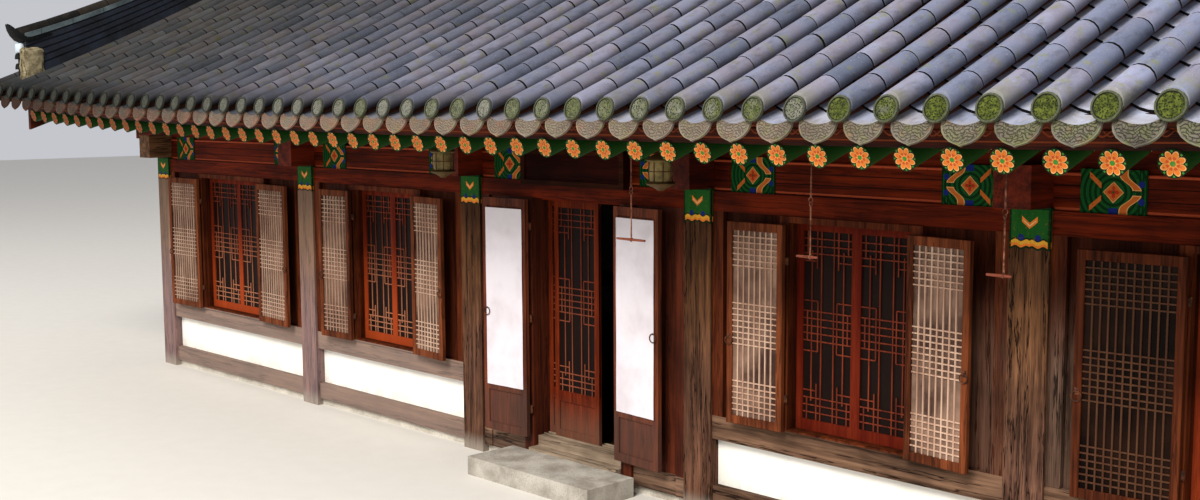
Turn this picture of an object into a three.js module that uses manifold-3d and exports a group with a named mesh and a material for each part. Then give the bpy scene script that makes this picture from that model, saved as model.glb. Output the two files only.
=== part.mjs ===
// A five-bay Korean timber house (hanok) with a tiled gable roof.
// Millimetres, +Z up. X runs along the house, the front faces -Y, the ground is Z = 0.
import * as THREE from 'three';
import { mergeVertices } from 'three/addons/utils/BufferGeometryUtils.js';
import Module from 'manifold-3d';

const wasm = await Module();
wasm.setup();

// Driving dimensions
const BAY = 2400;            // a standard bay, post centre to post centre
const END_BAY = 2740;        // the wider bay at each end
const POST = 240;            // square posts
const POST_TOP = 2207;
const HALF_DEPTH = 2520;     // post fronts to the middle of the house
const FRONT = -HALF_DEPTH;   // plane of the front faces of the front posts
const SEAT = 0.3;            // clearance left where one piece rests on another

const FOOTING_TOP = 59;
const FLOOR_TOP = 200;
const RAIL_TOP = 205;        // ground rail
const PLASTER_TOP = 530;
const SILL_TOP = 690;        // sill beam under the windows
const LINTEL = { bottom: 2060, top: 2190 };
const WINDOW = { bottom: 700, top: 2020 };

const ROOF_HALF_LENGTH = 7700;
const EAVE_Y = 3850;         // tile edge to the middle of the house
const EAVE_TOP = 2770;       // top of the roof slab at the eave
const SLOPE = 0.39;          // slope of the tiles at the eave
const SAG = 0.00002;         // how much the slope steepens, per mm
const END_RISE = 190;        // how far the eaves and the ridge rise at the gables
const RISE_POWER = { left: 2, right: 5 };  // the left end rises from near the middle, the right end late
const TILE_BED = 140;        // thickness of the tile layer, all there is past the bargeboards
const BARGE_X = 7060;        // inner face of the bargeboards
const BARGE_THICK = 50;

const RAFTER = { radius: 65, pitch: 261.5, perSide: 27, tipY: 3620, endY: 1150, slope: 0.333 };
const MID_Y = 1200;          // middle purlins
const MID_AXIS_Z = 3302.6;   // rafter axis above the middle purlins
const RIDGE_UNDERSIDE = 4100;

const DOOR = { half: 470, sill: 235, gap: 5 };
const LEAF = { width: 460, thick: 35, bottom: 241, top: 2052, y: 5 };
const OPEN_DEG = 176;        // how far the outer door leaves stand open in the photograph
const INNER = { width: 475, thick: 28, bottom: 241, top: 2052, frontY: 123, rearY: 167, slid: 115 };

// Shapes
const postX = [-END_BAY - 1.5 * BAY, -1.5 * BAY, -0.5 * BAY, 0.5 * BAY, 1.5 * BAY, 1.5 * BAY + END_BAY];

function box(x0, x1, y0, y1, z0, z1) {
  const geometry = new THREE.BoxGeometry(x1 - x0, y1 - y0, z1 - z0);
  geometry.translate((x0 + x1) / 2, (y0 + y1) / 2, (z0 + z1) / 2);
  return geometry;
}

// a round bar from one point to another
function bar(from, to, radius, sides = 10) {
  const a = new THREE.Vector3(...from);
  const b = new THREE.Vector3(...to);
  const geometry = new THREE.CylinderGeometry(radius, radius, a.distanceTo(b), sides);
  geometry.rotateY(Math.PI / sides);
  const turn = new THREE.Quaternion().setFromUnitVectors(
    new THREE.Vector3(0, 1, 0), b.clone().sub(a).normalize());
  geometry.applyQuaternion(turn);
  geometry.translate((a.x + b.x) / 2, (a.y + b.y) / 2, (a.z + b.z) / 2);
  return geometry;
}

// triangles that close a ring: a fan from its first point, or a strip between its two rows
const fan = (size) => Array.from({ length: size - 2 }, (_, k) => [0, k + 1, k + 2]);
const strip = (size) => Array.from({ length: size / 2 - 1 }, (_, k) => [
  [k, k + 1, size - 2 - k],
  [k, size - 2 - k, size - 1 - k],
]).flat();

// a closed solid through a row of equal rings of points
function loft(rings, close = fan) {
  const size = rings[0].length;
  const index = [];
  for (let i = 0; i + 1 < rings.length; i++) {
    for (let j = 0; j < size; j++) {
      const a = i * size + j;
      const b = i * size + (j + 1) % size;
      index.push(a, b, b + size, a, b + size, a + size);
    }
  }
  const last = (rings.length - 1) * size;
  for (const [a, b, c] of close(size)) {
    index.push(a, c, b);
    index.push(last + a, last + b, last + c);
  }
  const geometry = new THREE.BufferGeometry();
  geometry.setAttribute('position', new THREE.Float32BufferAttribute(rings.flat(2), 3));
  geometry.setIndex(index);
  return outward(geometry);
}

// a prism along X from a profile of [y, z] points
function prismX(profile, x0, x1) {
  return loft([x0, x1].map((x) => profile.map(([y, z]) => [x, y, z])));
}

function volume(geometry) {
  const p = geometry.attributes.position;
  const at = (k) => new THREE.Vector3().fromBufferAttribute(p, geometry.index.getX(k));
  let sum = 0;
  for (let k = 0; k < geometry.index.count; k += 3) {
    sum += at(k).dot(at(k + 1).cross(at(k + 2)));
  }
  return sum;
}

// turns a closed shape's faces outward
function outward(geometry) {
  if (volume(geometry) < 0) {
    const index = geometry.index;
    for (let k = 0; k < index.count; k += 3) {
      const b = index.getX(k + 1);
      index.setX(k + 1, index.getX(k + 2));
      index.setX(k + 2, b);
    }
  }
  return geometry;
}

function toSolid(geometry) {
  const bare = new THREE.BufferGeometry();
  bare.setAttribute('position', geometry.attributes.position.clone());
  if (geometry.index) {
    bare.setIndex(geometry.index.clone());
  }
  const welded = mergeVertices(bare, 0.0001);
  return new wasm.Manifold(new wasm.Mesh({
    numProp: 3,
    vertProperties: Float32Array.from(welded.attributes.position.array),
    triVerts: Uint32Array.from(welded.index.array),
  }));
}

function fromSolid(solid) {
  const mesh = solid.getMesh();
  const geometry = new THREE.BufferGeometry();
  geometry.setAttribute('position', new THREE.Float32BufferAttribute(mesh.vertProperties, 3));
  geometry.setIndex(new THREE.Uint32BufferAttribute(mesh.triVerts, 1));
  return geometry;
}

// joins the first list of shapes and cuts the second list away
function build(joined, cut = []) {
  let solid = toSolid(joined[0]);
  for (const shape of joined.slice(1)) {
    solid = solid.add(toSolid(shape));
  }
  for (const shape of cut) {
    solid = solid.subtract(toSolid(shape));
  }
  return fromSolid(solid);
}

function octagon(y, z, radius) {
  return Array.from({ length: 8 }, (_, k) => {
    const angle = (k + 0.5) * Math.PI / 4;
    const reach = radius / Math.cos(Math.PI / 8);
    return [y + reach * Math.cos(angle), z + reach * Math.sin(angle)];
  });
}

// Materials
const paint = (color, roughness, metalness = 0) =>
  new THREE.MeshStandardMaterial({ color, roughness, metalness });
const materials = {
  darkWood: () => paint(0x4a2a1c, 0.7),
  greyWood: () => paint(0x6b5848, 0.8),
  redWood: () => paint(0x7a3a22, 0.65),
  plaster: () => paint(0xe8e4dc, 0.9),
  stone: () => paint(0xa9a398, 0.9),
  tile: () => paint(0x4c5158, 0.75),
  paper: () => paint(0xd8cbb5, 0.85),
  iron: () => paint(0x4a3428, 0.6, 0.7),
  black: () => paint(0x1d1815, 0.6),
  lantern: () => paint(0xb7a06a, 0.6),
};

const house = new THREE.Group();
house.name = 'hanok_house';

function part(name, geometry, material, parent = house) {
  const mesh = new THREE.Mesh(geometry, materials[material]());
  mesh.name = name;
  parent.add(mesh);
  return mesh;
}

function group(name, x, y, degrees) {
  const pivot = new THREE.Group();
  pivot.name = name;
  pivot.position.set(x, y, 0);
  pivot.rotation.z = THREE.MathUtils.degToRad(degrees);
  house.add(pivot);
  return pivot;
}

// Roof surfaces
const rafterX = [];
for (let k = -RAFTER.perSide; k < RAFTER.perSide; k++) {
  rafterX.push((k + 0.5) * RAFTER.pitch);
}
const outermost = (RAFTER.perSide - 0.5) * RAFTER.pitch;
const everyFourth = rafterX.filter((x) =>
  Math.abs(x) === outermost || Math.round(Math.abs(x) / RAFTER.pitch - 0.5) % 4 === 0);
const knotX = [-ROOF_HALF_LENGTH, -7390, -BARGE_X - BARGE_THICK, -BARGE_X, ...everyFourth,
  BARGE_X, BARGE_X + BARGE_THICK, 7390, ROOF_HALF_LENGTH];
const knotY = [EAVE_Y, 3555, 3320, 3000, 2400, 1800, RAFTER.endY, 600, 180];

const endRise = (x) =>
  END_RISE * Math.pow(Math.abs(x) / ROOF_HALF_LENGTH, x < 0 ? RISE_POWER.left : RISE_POWER.right);

function between(knots, values, at) {
  for (let k = 0; k + 1 < knots.length; k++) {
    const [a, b] = [knots[k], knots[k + 1]];
    if ((at - a) * (at - b) <= 0) {
      return values[k] + (values[k + 1] - values[k]) * (at - a) / (b - a);
    }
  }
  return values[values.length - 1];
}

const risesAtKnots = knotX.map(endRise);
const rise = (x) => between(knotX, risesAtKnots, x);

// top of the roof slab, y counted from the middle of the house
const slopeAt = (y) => EAVE_TOP + SLOPE * (EAVE_Y - y) + SAG * (EAVE_Y - y) ** 2;
const allY = [...knotY, 0.3];
const slopesAtKnots = allY.map(slopeAt);
const roofTop = (x, y) => between(allY, slopesAtKnots, Math.abs(y)) + rise(x);

// axis of the rafters: it swings up at the tip with the eave
const lift = (y) => Math.max(0, (Math.abs(y) - RAFTER.endY) / (RAFTER.tipY - RAFTER.endY));
const rafterAxis = (x, y) =>
  MID_AXIS_Z - RAFTER.slope * (Math.abs(y) - MID_Y) + lift(y) * rise(x);
const rafterHalf = RAFTER.radius * Math.cos(Math.PI / 10) * Math.hypot(1, RAFTER.slope);

const BED_SEAT = 3.5;        // the underside is made of flat facets and the rafters are straight
function underside(x, y) {
  const bend = RAFTER.endY;
  if (y >= bend) {
    return rafterAxis(x, y) + rafterHalf + BED_SEAT;
  }
  const z = rafterAxis(x, bend) + rafterHalf + BED_SEAT;
  return z + (RIDGE_UNDERSIDE - z) * (bend - y) / bend;
}

function slab(xs, ys, top, bottom, side) {
  const rings = xs.map((x) => [
    ...ys.map((y) => [x, side * y, top(x, y)]),
    ...[...ys].reverse().map((y) => [x, side * y, bottom(x, y)]),
  ]);
  return loft(rings, strip);
}

function roofSlope(side) {
  const inner = knotX.filter((x) => Math.abs(x) <= BARGE_X);
  const tiles = slab(inner, allY, roofTop, (x, y) => roofTop(x, y) - TILE_BED, side);
  const bedY = allY.filter((y) => y <= 3555);
  const bed = slab(inner, bedY, (x, y) => roofTop(x, y) - TILE_BED / 2, underside, side);
  return build([tiles, bed]);
}

// the tiles of both slopes past the bargeboards
function verge(side) {
  const xs = [BARGE_X + SEAT, BARGE_X + BARGE_THICK, 7390, ROOF_HALF_LENGTH].map((x) => side * x);
  const ys = [...allY, ...[...allY].reverse().map((y) => -y)];
  return slab(xs, ys, roofTop, (x, y) => roofTop(x, y) - TILE_BED, 1);
}

function rafterSet(side) {
  const shapes = rafterX.map((x) => {
    const ends = [RAFTER.tipY, RAFTER.endY].map((y) => [x, side * y, rafterAxis(x, y)]);
    return bar(ends[0], ends[1], RAFTER.radius, 10);
  });
  const boardY = [RAFTER.tipY + 5, RAFTER.tipY - 55];
  const boardX = knotX.filter((x) => Math.abs(x) <= BARGE_X - 50);
  const board = slab(boardX, boardY, (x, y) => roofTop(x, y) - TILE_BED - SEAT,
    (x, y) => rafterAxis(x, y) + RAFTER.radius - 20, side);
  return build([board, ...shapes]);
}

// Ground and floor
const posts = [];
for (const x of postX) {
  for (const side of [-1, 1]) {
    posts.push([x, side * (HALF_DEPTH - POST / 2)]);
  }
}
const gablePosts = [[postX[0], 0], [postX[5], 0]];

function postBox([x, y], spread, z0, z1) {
  const half = POST / 2 + spread;
  return box(x - half, x + half, y - half, y + half, z0, z1);
}

const wallX = postX[5];
part('footing', build([box(-wallX - 60, wallX + 60, FRONT + 60, HALF_DEPTH - 60, 0, FOOTING_TOP)],
  [...posts, ...gablePosts].map((p) => postBox(p, SEAT, -10, FOOTING_TOP + 10))), 'stone');
part('floor', build([box(-wallX + 140, wallX - 140, FRONT + 260, HALF_DEPTH - 260,
  FOOTING_TOP + SEAT, FLOOR_TOP)]), 'greyWood');
part('door_step', box(-650, 650, FRONT - 500, FRONT - 50.3, 0, 140), 'stone');

// Posts of the front
postX.forEach((x, k) => {
  part(`front_post_${k + 1}`, postBox([x, FRONT + POST / 2], 0, 0, POST_TOP), 'greyWood');
});

// Cross beams, with heads that pass over the posts
const HEAD_OUT = 200;
const BEAM = { half: 110, bottom: POST_TOP + SEAT, headTop: 2440, top: 2550 };
const PURLIN = { radius: 120, top: 2820 };
const MID = { radius: 110, top: 3221 };
const RIDGE = { radius: 110, top: 4071 };

function crossBeam(x) {
  const end = HALF_DEPTH + HEAD_OUT;
  return [
    box(x - BEAM.half, x + BEAM.half, -end, end, BEAM.bottom, BEAM.headTop),
    box(x - BEAM.half, x + BEAM.half, FRONT + 300, HALF_DEPTH - 300, BEAM.headTop - 10, BEAM.top),
  ];
}

for (const k of [1, 2, 3, 4]) {
  const x = postX[k];
  const struts = [-MID_Y, MID_Y].map((y) =>
    box(x - 90, x + 90, y - 90, y + 90, BEAM.top - 10, MID.top - 2 * MID.radius - SEAT));
  const king = box(x - 90, x + 90, -90, 90, BEAM.top - 10, RIDGE.top - 2 * RIDGE.radius - SEAT);
  part(`cross_beam_${k + 1}`, build([...crossBeam(x), ...struts, king]), 'darkWood');
}

// Wall plate: lintel, painted member, bearer and purlin in one run
const TRACK_RIBS = [[110, 118], [156, 162], [200, 208]];

function wallPlate(side) {
  const y = (a) => side * (HALF_DEPTH - a);
  const slice = (a, b, z0, z1, half) =>
    box(-half, half, Math.min(y(a), y(b)), Math.max(y(a), y(b)), z0, z1);
  const reach = wallX - POST / 2 - SEAT;
  const joined = [
    slice(20, 200, LINTEL.bottom, LINTEL.top, reach),
    slice(40, 180, LINTEL.top - 10, 2400, reach),
    slice(60, 180, 2390, PURLIN.top - 150, BARGE_X - SEAT),
    prismX(octagon(y(POST / 2), PURLIN.top - PURLIN.radius, PURLIN.radius),
      -BARGE_X + SEAT, BARGE_X - SEAT),
  ];
  if (side < 0) {
    for (const [a, b] of TRACK_RIBS) {
      joined.push(slice(a, b, LINTEL.bottom - 20, LINTEL.bottom + 10, DOOR.half - SEAT));
    }
  }
  const cut = [];
  for (const x of postX) {
    cut.push(postBox([x, y(POST / 2)], SEAT, 2000, POST_TOP + SEAT));
    cut.push(box(x - BEAM.half - SEAT, x + BEAM.half + SEAT, y(0) - 400, y(0) + 400,
      BEAM.bottom - SEAT, BEAM.headTop + SEAT));
  }
  return build(joined, cut);
}

part('front_wall_plate', wallPlate(-1), 'darkWood');
part('rear_wall_plate', wallPlate(1), 'darkWood');
for (const [name, side] of [['front', -1], ['rear', 1]]) {
  part(`${name}_mid_purlin`, prismX(octagon(side * MID_Y, MID.top - MID.radius, MID.radius),
    -BARGE_X + SEAT, BARGE_X - SEAT), 'darkWood');
}
part('ridge_purlin', prismX(octagon(0, RIDGE.top - RIDGE.radius, RIDGE.radius),
  -BARGE_X + SEAT, BARGE_X - SEAT), 'darkWood');

// Gables: end beam and the wall above it
function gable(x) {
  const low = (y) => MID_AXIS_Z - RAFTER.slope * (y - MID_Y) - rafterHalf - 6;
  const mirrored = (half) => [...half.map(([y, z]) => [-y, z]), ...[...half].reverse()];
  const lower = mirrored([[2150, BEAM.top - 20], [2150, low(2150)], [1142, low(1142)]]);
  const upper = mirrored([[1110, low(1142) - 5], [1110, underside(0, 1110) - 4],
    [90, underside(0, 90) - 4]]);
  const notches = [[-MID_Y, MID], [MID_Y, MID], [0, RIDGE]].map(([y, purlin]) => {
    const shape = octagon(y, purlin.top - purlin.radius, purlin.radius + SEAT);
    return prismX(shape, x - 200, x + 200);
  });
  const wall = [lower, upper].map((profile) => prismX(profile, x - 50, x + 50));
  return build([...crossBeam(x), ...wall], notches);
}

part('left_gable', gable(postX[0]), 'plaster');
part('right_gable', gable(postX[5]), 'plaster');

// Side and rear walls, with their posts
function sideWall(side) {
  const x = side * wallX;
  const reach = HALF_DEPTH - POST - SEAT;
  const run = (half, z0, z1) => box(x - half, x + half, -reach, reach, z0, z1);
  return build([
    run(80, FOOTING_TOP + SEAT, RAIL_TOP),
    run(50, RAIL_TOP - 10, LINTEL.bottom + 10),
    run(80, PLASTER_TOP, SILL_TOP),
    run(80, LINTEL.bottom, POST_TOP),
    postBox([x, 0], 0, 0, POST_TOP),
  ]);
}

part('left_wall', sideWall(-1), 'plaster');
part('right_wall', sideWall(1), 'plaster');

const bays = [0, 1, 2, 3, 4].map((k) => ({
  x0: postX[k] + POST / 2,
  x1: postX[k + 1] - POST / 2,
  middle: (postX[k] + postX[k + 1]) / 2,
}));

function rearWall() {
  const y = (a) => HALF_DEPTH - a;
  const run = (a, b, z0, z1) => box(-wallX, wallX, y(b), y(a), z0, z1);
  const joined = [
    run(30, 200, FOOTING_TOP + SEAT, RAIL_TOP),
    run(85, 185, RAIL_TOP - 10, LINTEL.bottom - SEAT),
    run(20, 220, PLASTER_TOP, SILL_TOP),
    ...postX.map((x) => postBox([x, HALF_DEPTH - POST / 2], 0, 0, POST_TOP)),
  ];
  const cut = [];
  for (const bay of bays) {
    for (const [a, b] of [[60, 120], [150, 240]]) {
      cut.push(box(bay.middle - 450, bay.middle + 450, y(b), y(a), WINDOW.bottom, WINDOW.top));
    }
  }
  return build(joined, cut);
}

part('rear_wall', rearWall(), 'plaster');

// Front window bays
const windows = [
  { bay: 0, middle: bays[0].middle, half: 570 },
  { bay: 1, middle: 1220 - 3600, half: 450 },
  { bay: 3, middle: 6010 - 3600, half: 450 },
  { bay: 4, middle: 8650 - 3600, half: 570 },
];
const JAMB = { width: 70, front: 5, rear: 200 };

function windowBay({ bay, middle, half }) {
  const { x0, x1 } = bays[bay];
  const a = x0 + SEAT;
  const b = x1 - SEAT;
  const top = LINTEL.bottom - SEAT;
  const run = (u, v, y0, y1, z0, z1) => box(u, v, FRONT + y0, FRONT + y1, z0, z1);
  const sash = run(middle - half - 10, middle + half + 10, 100, 140, SILL_TOP - 10, WINDOW.top + 10);
  const panes = [];
  for (const side of [-1, 1]) {
    const u = Math.min(side * 35, side * (half - 50));
    const v = Math.max(side * 35, side * (half - 50));
    for (const [y0, y1] of [[90, 112], [128, 150]]) {
      panes.push(run(middle + u, middle + v, y0, y1, WINDOW.bottom + 70, WINDOW.top - 50));
    }
  }
  const wall = build([
    run(a, b, 60, 160, SILL_TOP - 10, top),
    run(a, a + 90, 20, 200, SILL_TOP - 10, top),
    run(b - 90, b, 20, 200, SILL_TOP - 10, top),
    run(middle - half - JAMB.width, middle + half + JAMB.width, JAMB.front, JAMB.rear,
      SILL_TOP - 10, top),
  ], [run(middle - half, middle + half, -50, 300, WINDOW.bottom, WINDOW.top)]);
  return build([
    run(a, b, 30, 200, FOOTING_TOP + SEAT, RAIL_TOP),
    run(a, b, 85, 185, RAIL_TOP - 10, PLASTER_TOP + 10),
    run(a, b, 20, 220, PLASTER_TOP, SILL_TOP),
    wall,
    build([sash], panes),
  ]);
}

// a window shutter that stands open beside its window
const SHUTTER = { bottom: 690, top: 2010, thick: 35, knuckle: 9 };

function shutter(width, side) {
  const out = (u, v) => [Math.min(side * u, side * v), Math.max(side * u, side * v)];
  const [u0, u1] = out(6, 6 + width);
  const [s0, s1] = out(-4, 30);
  const leaf = build([box(u0, u1, -45, -10, SHUTTER.bottom, SHUTTER.top)], [
    box(u0 + 45, u1 - 45, -60, -33, SHUTTER.bottom + 55, SHUTTER.top - 55),
    box(u0 + 45, u1 - 45, -22, 0, SHUTTER.bottom + 55, SHUTTER.top - 55),
  ]);
  const shapes = [leaf];
  for (const z of [900, 1780]) {
    shapes.push(bar([0, 0, z - 25], [0, 0, z + 25], SHUTTER.knuckle, 12));
    shapes.push(box(s0, s1, -12, 2, z - 20, z + 20));
  }
  return build(shapes);
}

const SHUTTER_TURN = { 0: [2, 3], 1: [3, 4], 3: [2, 6], 4: [3, 3] };
for (const item of windows) {
  const number = item.bay + 1;
  part(`window_bay_${number}`, windowBay(item), 'redWood');
  const [turnLeft, turnRight] = SHUTTER_TURN[item.bay];
  const width = item.half - 8;
  for (const [name, side, turn] of [['left', -1, turnLeft], ['right', 1, turnRight]]) {
    const pivot = group(`shutter_${name}_${number}_hinge`, item.middle + side * item.half,
      FRONT + JAMB.front - SHUTTER.knuckle - 0.5, -side * turn);
    part(`shutter_${number}_${name}`, shutter(width, side), 'paper', pivot);
  }
}

// Door bay
const HINGE = { back: 17, radius: 9, pin: 4.5, hole: 5.4, height: 50, at: [450, 1150, 1850] };
const hingeY = FRONT + LEAF.y - HINGE.back;

function doorSide(side) {
  const a = side * DOOR.half;
  const b = side * (BAY / 2 - POST / 2 - SEAT);
  const jamb = side * (DOOR.half + 100);
  const low = (u, v) => [Math.min(u, v), Math.max(u, v)];
  const top = LINTEL.bottom - SEAT;
  const run = (u, v, y0, y1, z0, z1) => {
    const [p, q] = low(u, v);
    return box(p, q, FRONT + y0, FRONT + y1, z0, z1);
  };
  const shapes = [
    run(a, jamb, LEAF.y, 220, FOOTING_TOP + SEAT, top),
    run(jamb, b, 45, 125, FOOTING_TOP + SEAT, top),
    run(jamb, b, 30, 200, FOOTING_TOP + SEAT, RAIL_TOP),
    run(b - side * 90, b, 20, 200, FOOTING_TOP + SEAT, top),
  ];
  for (const z of HINGE.at) {
    const base = z - HINGE.height / 2 - 0.4;
    shapes.push(run(a - side * 8, a + side * 8, -20, -4, base - 8, base));
    shapes.push(run(a, a + side * 8, -12, LEAF.y + 10, base - 8, base));
    shapes.push(bar([a, hingeY, base - 4], [a, hingeY, base + HINGE.height - 8], HINGE.pin, 12));
  }
  return build(shapes);
}

part('door_side_left', doorSide(-1), 'darkWood');
part('door_side_right', doorSide(1), 'darkWood');

part('threshold', build([
  box(-DOOR.half + SEAT, DOOR.half - SEAT, FRONT + 50, FRONT + 240, FOOTING_TOP + SEAT, DOOR.sill),
  box(-DOOR.half + SEAT, DOOR.half - SEAT, FRONT - 50, FRONT + 60, FOOTING_TOP + SEAT, 160),
  ...TRACK_RIBS.map(([a, b]) =>
    box(-DOOR.half + SEAT, DOOR.half - SEAT, FRONT + a, FRONT + b, DOOR.sill - 10, DOOR.sill + 12)),
]), 'greyWood');

// an outer leaf, drawn closed and then swung open about its hinge
function outerLeaf(side) {
  const at = (u0, u1, y0, y1, z0, z1) => {
    const u = [-side * u0, -side * u1];
    return box(Math.min(...u), Math.max(...u), y0, y1, z0, z1);
  };
  const near = DOOR.gap;
  const far = near + LEAF.width;
  const y0 = HINGE.back;
  const y1 = y0 + LEAF.thick;
  const board = build([at(near, far, y0, y1, LEAF.bottom, LEAF.top)], [
    at(near + 50, far - 50, y1 - 10, y1 + 10, LEAF.bottom + 60, 560),
    at(near + 50, far - 50, y1 - 10, y1 + 10, 620, LEAF.top - 60),
    at(near + 50, far - 50, y0 - 10, y0 + 10, LEAF.bottom + 60, 560),
    at(near + 50, far - 50, y0 - 10, y0 + 10, 620, LEAF.top - 60),
  ]);
  const shapes = [board, at(35, far - 30, y1 - 12, y1 + 3, 596, 1980)];
  const holes = [];
  for (const z of HINGE.at) {
    const half = HINGE.height / 2;
    shapes.push(bar([0, 0, z - half], [0, 0, z + half], HINGE.radius, 16));
    shapes.push(at(-4, 35, -5, 5, z - half, z + half));
    shapes.push(at(8, 35, 4, y0 + 1, z - half, z + half));
    holes.push(bar([0, 0, z - half - 5], [0, 0, z + half - 5], HINGE.hole, 16));
  }
  const ring = new THREE.TorusGeometry(30, 4, 6, 16);
  ring.rotateX(Math.PI / 2);
  ring.translate(-side * (far - 45), y1 + 9, 1170);
  const staple = bar([-side * (far - 45), y1 - 2, 1200], [-side * (far - 45), y1 + 12, 1200], 6, 8);
  return build([...shapes, ring, staple], holes);
}

for (const [name, side] of [['left', -1], ['right', 1]]) {
  const pivot = group(`outer_door_${name}_hinge`, side * DOOR.half, hingeY, side * OPEN_DEG);
  part(`outer_door_${name}`, outerLeaf(side), 'redWood', pivot);
}

// a sliding inner leaf on its track
function innerLeaf(x, y) {
  const x1 = x + INNER.width;
  const y1 = y + INNER.thick;
  const leaf = box(x, x1, FRONT + y, FRONT + y1, INNER.bottom, INNER.top);
  const cut = [];
  for (const [z0, z1] of [[INNER.bottom + 60, 520], [600, INNER.top - 60]]) {
    cut.push(box(x + 45, x1 - 45, FRONT + y - 10, FRONT + y + 9, z0, z1));
    cut.push(box(x + 45, x1 - 45, FRONT + y1 - 9, FRONT + y1 + 10, z0, z1));
  }
  const feet = [x + 40, x1 - 60].map((u) =>
    box(u, u + 20, FRONT + y + 4, FRONT + y1 - 4, DOOR.sill + 0.4, INNER.bottom + 5));
  return build([leaf, ...feet], cut);
}

const leftmost = -DOOR.half + DOOR.gap;
part('inner_door_front', innerLeaf(leftmost + INNER.slid, INNER.frontY), 'redWood');
part('inner_door_rear', innerLeaf(leftmost, INNER.rearY), 'redWood');

// Name board, lanterns and lifting hooks
part('name_board', build([box(-545, 545, FRONT - 40, FRONT + 20 - SEAT, 2165, 2430)],
  [box(-500, 500, FRONT - 60, FRONT - 28, 2200, 2395)]), 'black');

// where a hanging rod ends: under a rafter, or under the roof between two rafters
function rodTop(x, y, radius) {
  const slack = SEAT + radius * RAFTER.slope;
  const onRafter = rafterX.some((v) => Math.abs(v - x) < RAFTER.radius);
  return onRafter ? rafterAxis(x, y) - rafterHalf - slack : underside(x, Math.abs(y)) - slack;
}

function lantern(x, y) {
  const bottom = 2215;
  const profile = [[0, 0], [30, 0], [55, 25], [95, 40], [100, 55], [75, 75], [75, 175], [100, 195],
    [95, 210], [30, 245], [8, 260], [0, 260]].map(([r, z]) => new THREE.Vector2(r, z));
  const body = new THREE.LatheGeometry(profile, 12);
  body.rotateX(Math.PI / 2);
  body.translate(x, y, bottom);
  return build([body, bar([x, y, bottom + 240], [x, y, rodTop(x, y, 6)], 6, 8)]);
}

function hook(x, y, half) {
  return build([
    bar([x, y, 1905], [x, y, rodTop(x, y, 7)], 7, 8),
    bar([x - half, y, 1905], [x + half, y, 1905], 10, 8),
  ]);
}

part('lantern_left', lantern(-3.5 * RAFTER.pitch, FRONT - 480), 'lantern');
part('lantern_right', lantern(1320, FRONT - 480), 'lantern');
[[4.5 * RAFTER.pitch, 130], [2590, 95], [14.5 * RAFTER.pitch, 100]].forEach(([x, half], k) => {
  part(`lifting_hook_${k + 1}`, hook(x, FRONT - 600, half), 'iron');
});

// Roof
part('front_rafters', rafterSet(-1), 'darkWood');
part('rear_rafters', rafterSet(1), 'darkWood');
part('front_roof', roofSlope(-1), 'tile');
part('rear_roof', roofSlope(1), 'tile');
part('left_verge', verge(-1), 'tile');
part('right_verge', verge(1), 'tile');

const RIDGE_HALF = 150;
const RIDGE_HIGH = 420;
const VERGE_RIDGE = { x0: 7170, x1: 7390, high: 420, endY: 3600, swell: 100 };

function mainRidge() {
  const ends = VERGE_RIDGE.x0 - SEAT;
  const xs = [-ends, ...knotX.filter((x) => Math.abs(x) < ends), ends];
  const rings = xs.map((x) => {
    const foot = roofTop(x, RIDGE_HALF) + SEAT;
    const peak = roofTop(x, 0) + SEAT;
    const top = peak + RIDGE_HIGH + 0.35 * endRise(x);
    return [[x, 0, peak + 0.5], [x, RIDGE_HALF, foot], [x, RIDGE_HALF, top - 70],
      [x, 60, top], [x, -60, top], [x, -RIDGE_HALF, top - 70], [x, -RIDGE_HALF, foot]];
  });
  return loft(rings);
}

function vergeRidge(side) {
  const { x0, x1, high, endY, swell } = VERGE_RIDGE;
  const middle = (x0 + x1) / 2;
  const foot = (x, y) => roofTop(side * x, y) + SEAT;
  const ys = [endY, ...allY.filter((y) => y < endY)];
  const line = [...ys.map((y) => -y), ...[...ys].reverse()];
  const body = loft(line.map((y) => {
    const spread = Math.max(0, (Math.abs(y) - 1800) / (endY - 1800));
    const top = foot(middle, y) + high + swell * spread ** 2;
    const ring = [[x0, y, foot(x0, y)], [x1, y, foot(x1, y)], [x1, y, top - 60],
      [x1 - 70, y, top], [x0 + 70, y, top], [x0, y, top - 60]];
    return ring.map(([x, v, z]) => [side * x, v, z]);
  }));
  // the pointed end tile: [y, underside and top above the tiles, half width]
  const horn = [[3490, 350, 500, 85], [3620, 375, 522, 80], [3715, 562, 597, 45]];
  const horns = [-1, 1].map((end) => loft(horn.map(([y, low, top, half]) => {
    const base = foot(middle, Math.min(y, endY)) - SLOPE * Math.max(0, y - endY);
    return [[-half, low], [half, low], [half, top - 25], [half - 20, top], [20 - half, top],
      [-half, top - 25]].map(([u, z]) => [side * (middle + u), end * y, base + z]);
  })));
  return build([body, ...horns]);
}

part('main_ridge', mainRidge(), 'tile');
part('left_verge_ridge', vergeRidge(-1), 'tile');
part('right_verge_ridge', vergeRidge(1), 'tile');

function bargeboard(side) {
  const ys = [3600, ...allY.filter((y) => y <= 3555)];
  const line = [...ys.map((y) => -y), ...[...ys].reverse()];
  const rings = line.map((y) => {
    const depth = 380 + 130 * (1 - Math.min(1, Math.abs(y) / 3600));
    const low = roofTop(side * BARGE_X, y) - TILE_BED - depth;
    const inner = side * (BARGE_X + SEAT);
    const outer = side * (BARGE_X + BARGE_THICK);
    return [[inner, y, low], [outer, y, low],
      [outer, y, roofTop(outer, y) - TILE_BED - SEAT], [inner, y, roofTop(inner, y) - TILE_BED - SEAT]];
  });
  return loft(rings);
}

part('left_bargeboard', bargeboard(-1), 'redWood');
part('right_bargeboard', bargeboard(1), 'redWood');

export default house;
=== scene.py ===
"""A five-bay Korean timber house with a tiled gable roof, dressed over its CAD frame.
Metres. X runs along the house, the front faces -Y and the ground is Z = 0."""
import math
import random

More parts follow.
